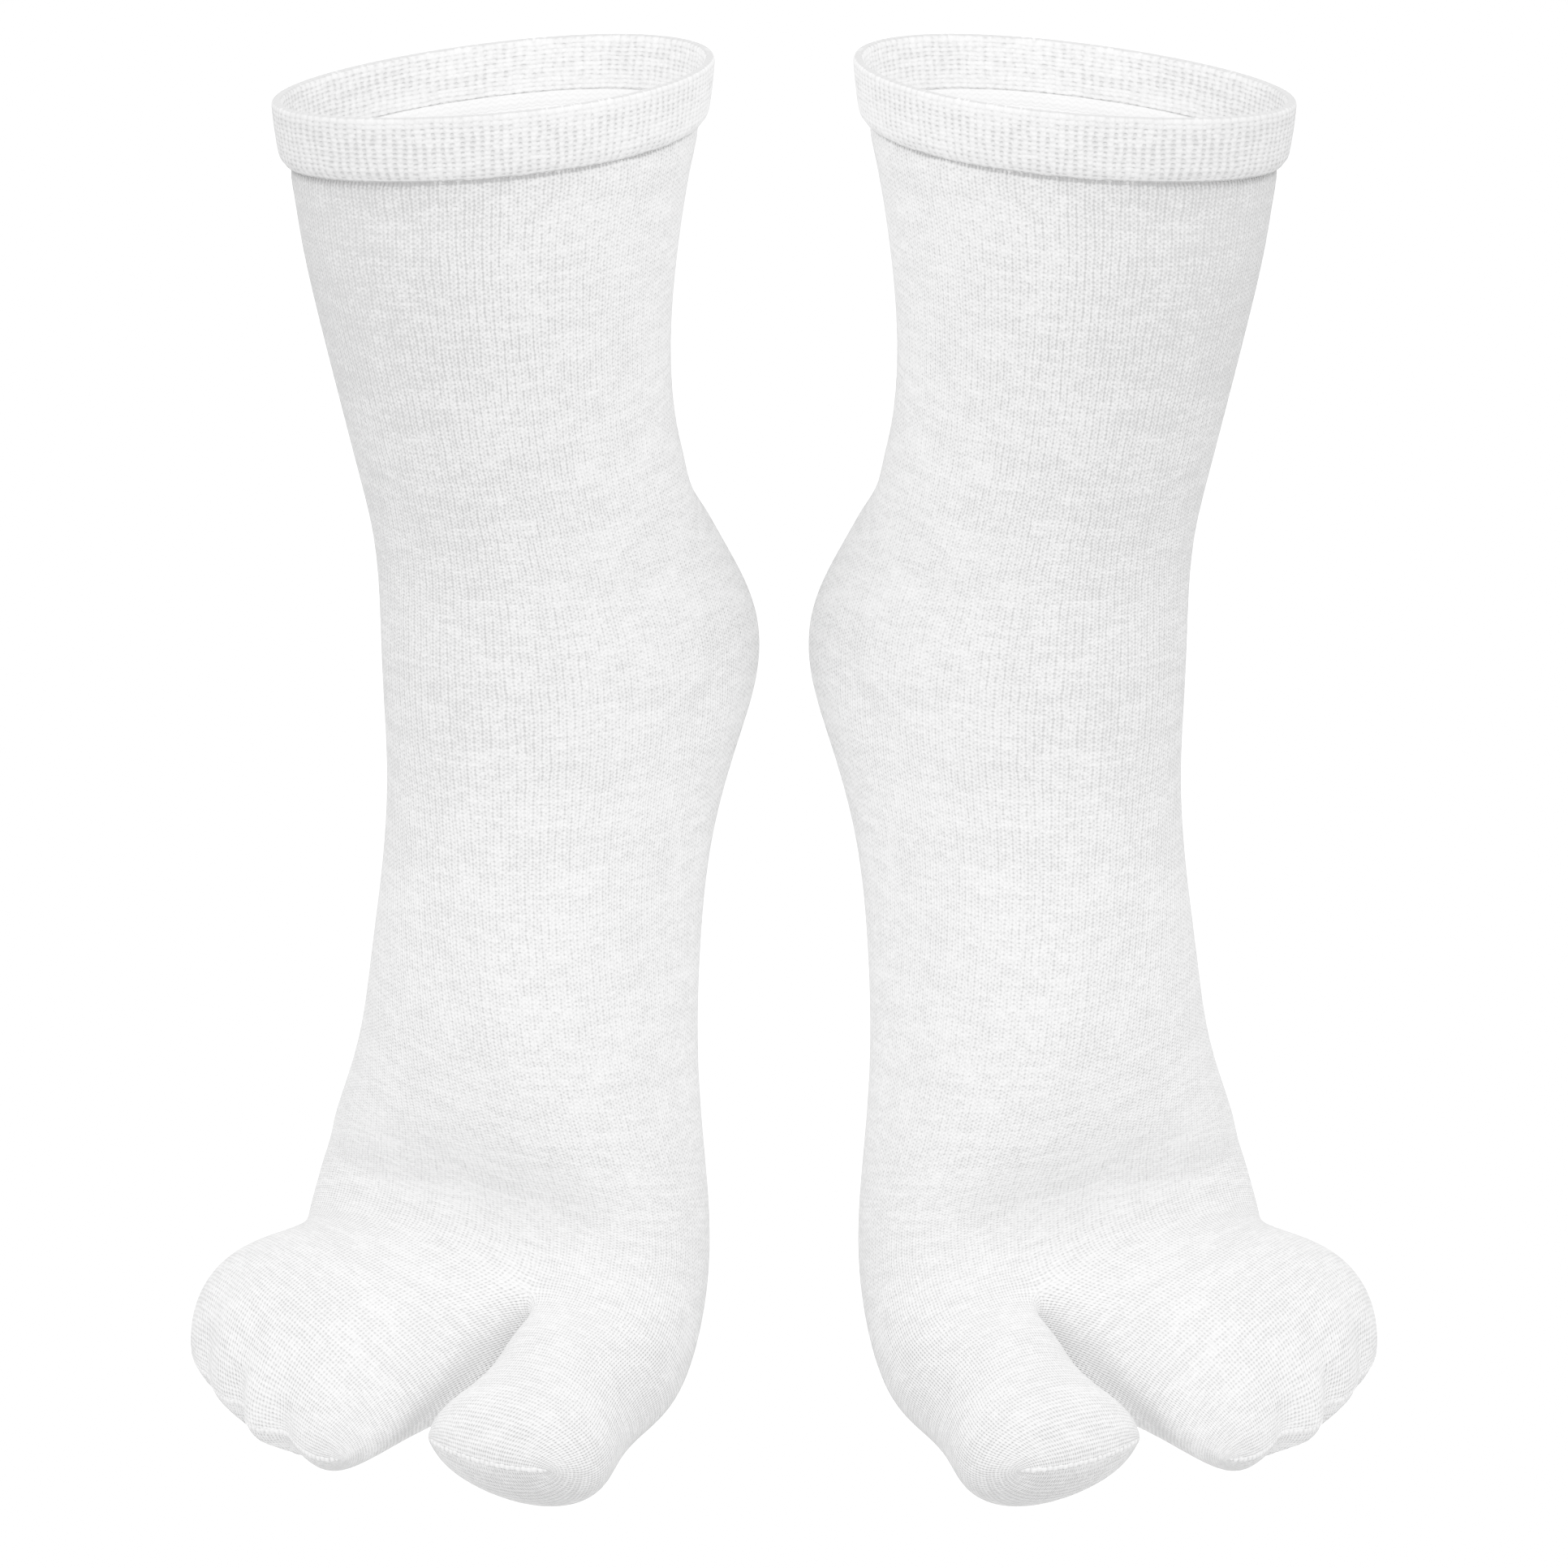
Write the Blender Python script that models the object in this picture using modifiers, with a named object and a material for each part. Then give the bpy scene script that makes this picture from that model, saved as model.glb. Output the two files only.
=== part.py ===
"""A pair of knitted split-toe socks, filled out as on two tiptoe feet, with no wearer.

Each sock is one closed wall: a leg and foot tube that parts at the cleft into a big-toe
stall and a four-toe pocket, each closed by a linked seam across its tip. A turned welt,
twice as thick, sits on the top of each leg.

Metres, +Z up. The origin lies midway between the centres of the two openings, at the
height of their rims. The toes point down and towards -Y, turned out to each side.
"""

import math
from typing import NamedTuple

import bpy
import numpy as np
from mathutils import Matrix

MM = 0.001

# Driving sizes.
WALL = 1.5 * MM  # one layer of knit
WELT_WALL = 2.9 * MM  # the turned welt, two layers
SEAM_GAP = 0.3 * MM  # between the welt and the leg below it
RIM_SPACING = 136 * MM  # between the centres of the two openings
TOE_OUT = math.radians(48)  # how far the toes turn from the line across both socks

# How many cage points a ring has along each stretch between the two ends of the cleft.
LATERAL_POINTS = 12
MEDIAL_POINTS = 8
CLEFT_POINTS = 4
RING_POINTS = LATERAL_POINTS + MEDIAL_POINTS
# Subdividing a ring pulls it inside its cage by this share.
CAGE_GROWTH = 1 / math.cos(math.pi / RING_POINTS)

# Where a ring's seam line lies across its width, from -1 medial to +1 lateral.
FOOT_CLEFT = -0.42
BIG_TOE_CLEFT = 0.62
POCKET_CLEFT = -0.80
PINCH_WIDTH = 0.22  # of the valley that leads into the cleft, on the same scale


class Section(NamedTuple):
    """One cross-section of a tube, in millimetres and degrees, in the right foot's frame."""

    name: str
    drop: float  # depth of the centre below the rim
    forward: float  # shift of the centre towards the shin and toes
    lateral: float  # shift of the centre towards the little toe
    bend: float  # turn of the tube's path from straight down to straight forward
    turn: float  # turn of the section about the vertical, its toes to the inner side
    dorsal: float  # reach to the shin or the top of the foot
    plantar: float  # reach to the heel or the sole
    half_width: float
    fullness: float  # exponent of the outline: 2 is an ellipse, more is squarer
    taper: float = 0  # share by which the little-toe side is thinner
    lag: float = 0  # how far the little-toe side stays behind
    pinch: float = 0  # how far the line of the cleft is drawn in, top and sole
    bow: float = 0  # how far both sides stay behind the middle


class Fold(NamedTuple):
    """A soft trough pressed into the knit, along a curve through three places.

    Each place is (lateral, forward, drop) in millimetres and lies near the outer face.
    """

    name: str
    start: tuple
    middle: tuple
    end: tuple
    width: float  # from the line of the fold to where it fades out
    depth: float


RIM = Section("rim", 1, 0, 0, -2.8, 0, 54, 54, 47.5, 2.0, 0, -5.5)
WELT_BASE = Section("welt base", 17, 0, 0, -2.8, 0, 52, 52, 46, 2.0, 0, -5.5)

LEG_AND_FOOT = (
    WELT_BASE,
    Section("calf", 40, 1, 0, -3.5, 0, 47.5, 47, 42, 2.05, 0, -4.5),
    Section("shin", 68, -1, 0, -5, 0, 42, 41, 38, 2.1, 0, -3),
    Section("ankle", 94, -6, 0, -5, 0, 40, 38.5, 36, 2.1, 0, -2),
    Section("ankle bend", 113, -11, 0, -2, 0, 40, 44, 34.5, 2.2),
    Section("heel top", 129, -12, 0, 0, 0, 40, 58, 34, 2.2),
    Section("heel", 146, -12, 0, 0, 0, 40, 70, 34, 2.2),
    Section("heel pad", 162, -12, 0, 0, 0, 39, 70, 34, 2.2),
    Section("heel front", 178, -12, 0, 0, 0, 38, 59, 34, 2.2),
    Section("arch", 198, -11, 0, 0, 3, 39, 47, 35, 2.3, 0.04),
    Section("instep", 222, -9, 0, 0, 7, 39.5, 39.5, 38, 2.4, 0.08, 3),
    Section("midfoot", 248, -7, 0, 3, 11, 38, 34.5, 41.2, 2.4, 0.10, 6),
    Section("metatarsals", 270, -6, 1.2, 10, 15, 34.5, 30.5, 47, 2.4, 0.10, 11),
    Section("ball top", 286, -3, 1.5, 22, 17, 30, 32, 51.5, 2.4, 0.05, 12, 1),
    Section("ball", 300, 3, -0.4, 38, 14, 27, 35.5, 53.8, 2.4, 0.05, 13, 4),
    Section("toe root", 312, 15, -3.8, 54, 10, 25, 35.5, 57.4, 2.4, 0.02, 13, 8),
)

BIG_TOE = (
    Section("big toe root", 315, 21, -42.9, 57, 10, 21, 25, 18.1, 2.3),
    Section("big toe joint", 320, 30, -45.4, 64, 10, 19, 19.5, 18.4, 2.2),
    Section("big toe pad", 324, 39.5, -47.3, 72, 10, 18, 18.5, 21.8, 2.3),
    Section("big toe nail", 325, 48, -47, 78, 10, 14.5, 15.5, 23.2, 2.3, 0, 0, 0, 1),
    Section("big toe front", 325, 54, -46, 80, 10, 8, 9.5, 21, 2.3, 0, 0, 0, 3),
    Section("big toe seam", 324.5, 58, -45.5, 80, 10, 2, 2, 18.5, 2.0, 0, 0, 0, 5),
)

FOUR_TOES = (
    Section("pocket root", 311.5, 29, 14.2, 59, -4, 20.5, 28, 39.2, 2.15, 0.04, 11),
    Section("pocket joint", 316, 41, 21.8, 64, -8, 20, 22, 45.3, 2.15, 0, 12),
    Section("pocket pads", 321, 53, 26.6, 70, -11, 18, 18, 48.6, 2.25, -0.10, 12),
    Section("pocket nails", 326.5, 65, 26.8, 74, -12, 13.5, 14, 45.8, 2.5, -0.15, 8, 0, 3),
    Section("pocket seam", 330.5, 73.5, 26, 76, -12, 2, 2, 38, 2.0, 0, 5, 0, 8),
)

FOLDS = (
    Fold("below the welt, heel side", (-20, -45, 26), (2, -48, 29), (26, -38, 27), 13, 0.8),
    Fold("below the welt, shin side", (-32, 34, 27), (-12, 45, 30), (8, 47, 28), 13, 0.7),
    Fold("above the heel", (-28, -36, 106), (0, -50, 111), (26, -38, 107), 13, 1.5),
    Fold("outer side of the ankle", (31, -22, 118), (35, -8, 124), (30, 12, 122), 13, 1.0),
    Fold("inner side of the ankle", (-32, -24, 122), (-35, -8, 127), (-30, 10, 123), 13, 1.1),
    Fold("outer end of the heel gore", (28, -46, 146), (33, -34, 158), (33, -20, 168), 12, 0.9),
    Fold("inner end of the heel gore", (-28, -48, 150), (-33, -36, 160), (-33, -22, 172), 12, 1.0),
    Fold("where the toes bend", (-28, 20, 280), (2, 28, 281), (30, 25, 277), 13, 1.4),
    Fold("outer edge above the toes", (32, 22, 268), (42, 14, 273), (47, 0, 271), 12, 0.9),
    Fold("under the ball", (-26, -26, 308), (0, -24, 318), (28, -16, 314), 12, 1.2),
    Fold("second and third toe", (10, 62, 300), (10, 72, 312), (9, 79, 331), 8, 0.9),
    Fold("third and fourth toe", (31, 60, 298), (31, 69, 309), (31, 78, 329), 8, 1.2),
    Fold("fourth and little toe", (50, 50, 295), (50, 60, 306), (49, 69, 327), 8, 1.0),
)


def outline_points(section, shares):
    """Points of a section's outline at the given angles, as (across, up) pairs.

    A superellipse with its own reach on the dorsal and the plantar side: across is the
    half width times the sine, up is the reach times the cosine, each to the power of
    2 / fullness, and up is scaled down towards the little toe by the taper.
    """
    sine, cosine = np.sin(shares), np.cos(shares)
    power = 2 / section.fullness
    across = np.sign(sine) * np.abs(sine) ** power
    reach = np.where(cosine > 0, section.dorsal, section.plantar)
    drawn_in = section.pinch * np.exp(-(((across - FOOT_CLEFT) / PINCH_WIDTH) ** 2))
    up = (reach - drawn_in) * np.sign(cosine) * np.abs(cosine) ** power
    return section.half_width * across, up * (1 - section.taper * across)


def even_stretch(section, cleft, side, count):
    """Count + 1 points evenly along one side of the outline, from cleft line to cleft line.

    side is +1 for the stretch round the little-toe side, from the top of the foot to the
    sole, and -1 for the stretch back round the big-toe side.
    """
    start = math.asin(math.copysign(abs(cleft) ** (section.fullness / 2), cleft))
    fine = np.linspace(start, math.pi - start, 400)
    if side < 0:
        fine = np.linspace(math.pi - start, 2 * math.pi + start, 400)
    across, up = outline_points(section, fine)
    run = np.concatenate([[0], np.cumsum(np.hypot(np.diff(across), np.diff(up)))])
    at = np.linspace(0, run[-1], count + 1)
    return np.stack([np.interp(at, run, across), np.interp(at, run, up)], axis=1)


def ring(section, cleft, lateral_count, medial_count):
    """The cage points of a section, in metres: x lateral, y forward, z up."""
    flat = np.concatenate(
        [
            even_stretch(section, cleft, +1, lateral_count)[:-1],
            even_stretch(section, cleft, -1, medial_count)[:-1],
        ]
    )
    across, up = flat[:, 0] * CAGE_GROWTH, flat[:, 1] * CAGE_GROWTH
    bend = math.radians(section.bend)
    share = flat[:, 0] / section.half_width
    behind = section.lag * (0.5 + 0.5 * share) ** 1.6 + section.bow * np.abs(share) ** 2.5
    turn = math.radians(section.turn)
    ahead = up * math.cos(bend) - behind * math.sin(bend)
    x = section.lateral + across * math.cos(turn) - ahead * math.sin(turn)
    y = section.forward + across * math.sin(turn) + ahead * math.cos(turn)
    z = -section.drop + up * math.sin(bend) + behind * math.cos(bend)
    return np.stack([x, y, z], axis=1) * MM


class Cage:
    """Points and four-sided faces, with the row of each toe seam merged into a line."""

    def __init__(self):
        self.points = []
        self.faces = []

    def add(self, points):
        """Adds points and returns their indices."""
        first = len(self.points)
        self.points.extend(tuple(p) for p in points)
        return list(range(first, len(self.points)))

    def bridge(self, upper, lower):
        """Joins two rings of as many points by a band of faces."""
        for i in range(len(upper)):
            k = (i + 1) % len(upper)
            self.faces.append((upper[i], upper[k], lower[k], lower[i]))

    def tube(self, first, sections, cleft, lateral_count, medial_count):
        """Carries a ring of indices on through sections, and returns the last ring."""
        last = first
        for section in sections:
            added = self.add(ring(section, cleft, lateral_count, medial_count))
            self.bridge(last, added)
            last = added
        return last

    def seam(self, last, section, cleft, lateral_count, medial_count, end):
        """Closes a tube: its top and bottom points meet in pairs along one seam line.

        end is the index of the ring point where the seam starts, at one side.
        """
        points = ring(section, cleft, lateral_count, medial_count)
        count = len(last)
        row = [None] * count
        for k in range(count // 2 + 1):
            one, other = (end + k) % count, (end - k) % count
            row[one] = row[other] = self.add([(points[one] + points[other]) / 2])[0]
        self.bridge(last, row)

    def mesh(self, name):
        """A mesh of the cage."""
        mesh = bpy.data.meshes.new(name)
        mesh.from_pydata([tuple(p) for p in self.points], [], self.faces)
        return mesh


def sock_cage():
    """The coarse cage of one right sock's outer face, open at the top."""
    cage = Cage()
    counts = (FOOT_CLEFT, LATERAL_POINTS, MEDIAL_POINTS)
    top = cage.add(ring(LEG_AND_FOOT[0], *counts))
    last = cage.tube(top, LEG_AND_FOOT[1:], *counts)

    # The web of the cleft crosses the last ring from the top of the foot to the sole.
    dorsal_end, plantar_end = last[0], last[LATERAL_POINTS]
    ends = np.array([cage.points[dorsal_end], cage.points[plantar_end]])
    shares = np.linspace(0, 1, CLEFT_POINTS + 1)[1:-1, None]
    web = cage.add(ends[0] * (1 - shares) + ends[1] * shares)

    big_toe_counts = (BIG_TOE_CLEFT, CLEFT_POINTS, MEDIAL_POINTS)
    around_big_toe = [dorsal_end, *web, plantar_end, *last[LATERAL_POINTS + 1 :]]
    tip = cage.tube(around_big_toe, BIG_TOE[:-1], *big_toe_counts)
    cage.seam(tip, BIG_TOE[-1], *big_toe_counts, end=CLEFT_POINTS // 2)

    pocket_counts = (POCKET_CLEFT, LATERAL_POINTS, CLEFT_POINTS)
    around_pocket = [*last[: LATERAL_POINTS + 1], *reversed(web)]
    tip = cage.tube(around_pocket, FOUR_TOES[:-1], *pocket_counts)
    cage.seam(tip, FOUR_TOES[-1], *pocket_counts, end=LATERAL_POINTS // 2)
    return cage


def smooth_copy(mesh, levels):
    """The mesh after subdivision, as a new mesh."""
    helper = bpy.data.objects.new("cage", mesh)
    bpy.context.scene.collection.objects.link(helper)
    subdivision = helper.modifiers.new("smooth", "SUBSURF")
    subdivision.levels = subdivision.render_levels = levels
    graph = bpy.context.evaluated_depsgraph_get()
    smooth = bpy.data.meshes.new_from_object(helper.evaluated_get(graph))
    bpy.data.objects.remove(helper)
    return smooth


def press_folds(mesh):
    """Pushes the knit in along each fold, deepest on its line and fading to its sides."""
    count = len(mesh.vertices)
    places = np.empty(count * 3)
    mesh.vertices.foreach_get("co", places)
    places = places.reshape(-1, 3)
    outward = np.empty(count * 3)
    mesh.vertex_normals.foreach_get("vector", outward)
    outward = outward.reshape(-1, 3)

    pressed = np.zeros(count)
    for fold in FOLDS:
        ends = np.array([fold.start, fold.middle, fold.end]) * (MM, MM, -MM)
        nearest = [np.argmin(np.linalg.norm(places - end, axis=1)) for end in ends]
        start, middle, end = places[nearest]
        along = np.linspace(0, 1, 15)[:, None]
        halfway = 2 * middle - (start + end) / 2
        curve = start * (1 - along) ** 2 + 2 * halfway * along * (1 - along) + end * along**2
        away = np.linalg.norm(places[:, None] - curve[None], axis=2).min(axis=1)
        share = np.clip(away / (fold.width * MM), 0, 1)
        pressed += fold.depth * MM * (1 - share**2) ** 2
    places -= outward * pressed[:, None]
    mesh.vertices.foreach_set("co", places.ravel())
    mesh.update()


def placed(name, mesh, side, material, collection):
    """A named object that stands at its place: side is -1 for the right sock, +1 left."""
    mesh.name = name
    mesh.materials.clear()
    mesh.materials.append(material)
    mesh.shade_smooth()
    if side > 0:
        mesh.transform(Matrix.Scale(-1, 4, (1, 0, 0)))
        mesh.flip_normals()
    obj = bpy.data.objects.new(name, mesh)
    collection.objects.link(obj)
    turn = math.pi / 2 + TOE_OUT
    obj.matrix_world = Matrix.Translation(
        (side * RIM_SPACING / 2, 0, 0)
    ) @ Matrix.Rotation(-side * turn, 4, "Z")
    return obj


def wall(obj, thickness, offset):
    """Gives an open surface a thickness. Offset -1 is inwards, 0 is both ways."""
    solid = obj.modifiers.new("wall", "SOLIDIFY")
    solid.thickness = thickness
    solid.offset = offset
    solid.use_even_offset = False
    solid.use_rim = True


def make_sock(name, side, material, collection):
    """One sock below its welt: leg, heel, foot, big-toe stall and four-toe pocket."""
    outer = smooth_copy(sock_cage().mesh(name + "_cage"), levels=1)
    press_folds(outer)
    obj = placed(name, outer, side, material, collection)
    wall(obj, WALL, offset=-1)
    return obj


def make_welt(name, side, material, collection):
    """The turned band at the top of a leg, as thick as two layers and round-edged."""
    cage = Cage()
    counts = (FOOT_CLEFT, LATERAL_POINTS, MEDIAL_POINTS)
    base = WELT_BASE._replace(drop=WELT_BASE.drop - SEAM_GAP / MM)
    cage.tube(cage.add(ring(RIM, *counts)), [base], *counts)
    outer = smooth_copy(cage.mesh(name + "_cage"), levels=1)
    obj = placed(name, outer, side, material, collection)
    wall(obj, WELT_WALL, offset=-0.5)
    bevel = obj.modifiers.new("round edges", "BEVEL")
    bevel.width = 0.35 * WELT_WALL
    bevel.segments = 2
    bevel.limit_method = "ANGLE"
    return obj


def knit_material(name, colour):
    """A matt cotton finish."""
    material = bpy.data.materials.new(name)
    material.use_nodes = True
    shader = material.node_tree.nodes["Principled BSDF"]
    shader.inputs["Base Color"].default_value = (*colour, 1)
    shader.inputs["Roughness"].default_value = 0.9
    shader.inputs["Metallic"].default_value = 0.0
    return material


def main():
    for obj in list(bpy.data.objects):
        bpy.data.objects.remove(obj)
    collection = bpy.data.collections.new("tabi_socks")
    bpy.context.scene.collection.children.link(collection)
    knit = knit_material("white_knit", (0.84, 0.84, 0.84))
    welt_knit = knit_material("welt_knit", (0.88, 0.88, 0.88))
    for word, side in (("right", -1), ("left", +1)):
        make_sock(f"{word}_sock", side, knit, collection)
        make_welt(f"{word}_welt", side, welt_knit, collection)


main()
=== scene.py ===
"""A pair of white knitted split-toe socks, dressed and lit on a pale studio floor.

Each sock is one run of plain knit: it starts under the welt, goes down the leg, round the
heel and along the foot, and parts at the cleft into a big-toe stall and a four-toe pocket,
each linked shut across its tip. The welt is a mock-rib band, folded in double.

All sizes are in millimetres in the tables and in metres in the meshes, +Z up, with the
origin midway between the centres of the two openings at the height of their rims. A foot's
own frame has x towards the little toe, y forward and z up, with its origin at the centre
of its opening. Stitches are counted in wales, round the tube, and courses, along it.
"""

from __future__ import annotations

import logging
import math
from dataclasses import dataclass, field, replace
from enum import Enum
from typing import NamedTuple

import bpy
import numpy as np
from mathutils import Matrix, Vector

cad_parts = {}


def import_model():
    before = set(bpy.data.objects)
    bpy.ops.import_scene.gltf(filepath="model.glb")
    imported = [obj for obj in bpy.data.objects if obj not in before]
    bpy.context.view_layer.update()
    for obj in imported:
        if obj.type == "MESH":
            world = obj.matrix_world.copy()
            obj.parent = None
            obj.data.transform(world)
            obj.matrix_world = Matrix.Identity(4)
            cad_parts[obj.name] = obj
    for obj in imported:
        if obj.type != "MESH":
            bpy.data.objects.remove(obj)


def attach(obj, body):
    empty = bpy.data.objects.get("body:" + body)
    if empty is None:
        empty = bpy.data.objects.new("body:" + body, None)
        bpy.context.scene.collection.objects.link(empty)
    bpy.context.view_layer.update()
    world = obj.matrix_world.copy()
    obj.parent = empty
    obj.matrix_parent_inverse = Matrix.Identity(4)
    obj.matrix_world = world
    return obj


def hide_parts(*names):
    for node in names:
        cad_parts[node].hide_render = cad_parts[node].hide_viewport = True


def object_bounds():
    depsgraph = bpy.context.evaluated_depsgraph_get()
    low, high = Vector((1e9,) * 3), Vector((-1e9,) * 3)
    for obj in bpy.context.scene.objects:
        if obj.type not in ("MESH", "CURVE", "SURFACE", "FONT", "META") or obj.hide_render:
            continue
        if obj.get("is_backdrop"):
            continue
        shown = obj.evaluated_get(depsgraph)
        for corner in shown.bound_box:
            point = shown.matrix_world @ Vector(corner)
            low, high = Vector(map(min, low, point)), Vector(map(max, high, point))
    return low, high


LOG = logging.getLogger("tabi_socks")
MM = 0.001

STITCH_MAP = "stitches"  # the UV map: wales and courses, each divided by MAP_STITCHES
MAP_STITCHES = 400.0
NEARLY = 0.001  # how little a value may fall short of 1
FLOOR_GAP = 0.6  # metres from the toe tips down to the floor

Triple = tuple[float, float, float]


class Foot(Enum):
    """Which foot a sock is for; the value is the sign of X on its side."""

    RIGHT = -1
    LEFT = 1

    @property
    def word(self) -> str:
        """The foot's name in lower case, as pieces and nodes are named."""
        return self.name.lower()


# ---------------------------------------------------------------------------
# Shape: sections, creases and the net of points
# ---------------------------------------------------------------------------


@dataclass(frozen=True)
class Section:
    """One cross-section of a tube, in millimetres and degrees, in the right foot's frame."""

    name: str
    drop: float  # depth of the centre below the rim
    forward: float  # shift of the centre towards the shin and toes
    lateral: float  # shift of the centre towards the little toe
    bend: float  # turn of the tube's path from straight down to straight forward
    turn: float  # turn of the section about the vertical, its toes to the inner side
    dorsal: float  # reach to the shin or the top of the foot
    plantar: float  # reach to the heel or the sole
    half_width: float
    fullness: float  # exponent of the outline: 2 is an ellipse, more is squarer
    taper: float = 0.0  # share by which the little-toe side is thinner
    lag: float = 0.0  # how far the little-toe side stays behind
    pinch: float = 0.0  # how far the line of the cleft is drawn in, top and sole
    bow: float = 0.0  # how far both sides stay behind the middle


@dataclass(frozen=True)
class Crease:
    """A soft trough in the knit, or a ridge if its depth is negative.

    It runs along a curve through three places, each (lateral, forward, drop) in
    millimetres, and it fades out at both ends and to both sides.
    """

    name: str
    start: Triple
    middle: Triple
    end: Triple
    width: float
    depth: float


RIM = Section("rim", 3.4, 0, 0, -2.5, 0, 54, 54, 47.5, 2.0, 0, -5.8)
WELT_BASE = Section("welt base", 17, 0, 0, -2.8, 0, 52, 52, 46, 2.0, 0, -5.5)

LEG_AND_FOOT: tuple[Section, ...] = (
    Section("tucked top", 15.4, 0, 0, -2.8, 0, 50.8, 50.8, 44.8, 2.0, 0, -5.5),
    Section("groove", 17.7, 0, 0, -2.8, 0, 50.6, 50.6, 44.6, 2.0, 0, -5.5),
    Section("gathered top", 19.4, 0.1, 0, -2.9, 0, 51.4, 51.4, 45.6, 2.0, 0, -5.4),
    Section("below the welt", 27, 0.4, 0, -3.1, 0, 49.8, 49.6, 44.2, 2.0, 0, -5.2),
    Section("calf", 40, 1, 0, -3.5, 0, 47.5, 47, 42, 2.05, 0, -4.5),
    Section("shin", 68, -1, 0, -5, 0, 42, 41, 38, 2.1, 0, -3),
    Section("ankle", 94, -6, 0, -5, 0, 40, 38.5, 36, 2.1, 0, -2),
    Section("ankle bend", 113, -11, 0, -2, 0, 40, 44, 34.5, 2.2),
    Section("heel top", 129, -12, 0, 0, 0, 40, 58, 34, 2.2),
    Section("heel", 146, -12, 0, 0, 0, 40, 70, 34, 2.2),
    Section("heel pad", 162, -12, 0, 0, 0, 39, 70, 34, 2.2),
    Section("heel front", 178, -12, 0, 0, 0, 38, 59, 34, 2.2),
    Section("arch", 198, -11, 0, 0, 3, 39, 47, 35, 2.3, 0.04),
    Section("instep", 222, -9, 0, 0, 7, 39.5, 39.5, 38, 2.4, 0.08, 3),
    Section("midfoot", 248, -7, 0, 3, 11, 38, 34.5, 41.2, 2.4, 0.10, 6),
    Section("metatarsals", 270, -6, 0.6, 10, 15, 36, 30.5, 46.4, 2.4, 0.10, 11, 0.6),
    Section("ball top", 286, -3, 1.1, 22, 17, 31.8, 32, 51.1, 2.4, 0.05, 12, 2.2),
    Section("ball", 300, 3, 0.8, 38, 14, 27.8, 35.5, 55, 2.4, 0.05, 13, 5),
    Section("toe root", 312, 15, -2.4, 54, 10, 25, 35.5, 58.8, 2.4, 0.02, 13, 8),
)

BIG_TOE: tuple[Section, ...] = (
    Section("big toe root", 315, 21, -42.9, 57, 10, 21, 25, 18.1, 2.3),
    Section("big toe joint", 320, 30, -45.4, 64, 10, 19, 19.5, 18.4, 2.2),
    Section("big toe pad", 324, 39.5, -47.3, 72, 10, 18, 18.5, 21.8, 2.3),
    Section("big toe nail", 325, 48, -47, 78, 10, 14.5, 15.5, 23.2, 2.3, 0, 0, 0, 1),
    Section("big toe front", 325, 54, -46, 80, 10, 8, 9.5, 21, 2.3, 0, 0, 0, 3),
    Section("big toe seam", 324.5, 58, -45.5, 80, 10, 2, 2, 18.5, 2.0, 0, 0, 0, 5),
)

FOUR_TOES: tuple[Section, ...] = (
    Section("pocket root", 311.5, 29, 14.8, 59, -4, 20.5, 28, 39.8, 2.15, 0.04, 11),
    Section("pocket joint", 316, 41, 21.8, 64, -8, 20, 22, 45.3, 2.15, 0, 12),
    Section("pocket pads", 321, 53, 26.6, 70, -11, 18, 18, 48.6, 2.25, -0.10, 12),
    Section("pocket nails", 326.5, 65, 26.8, 74, -12, 13.5, 14, 45.8, 2.5, -0.15, 8, 0, 3),
    Section("pocket seam", 330.5, 73.5, 26, 76, -12, 2, 2, 38, 2.0, 0, 5, 0, 8),
)

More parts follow.
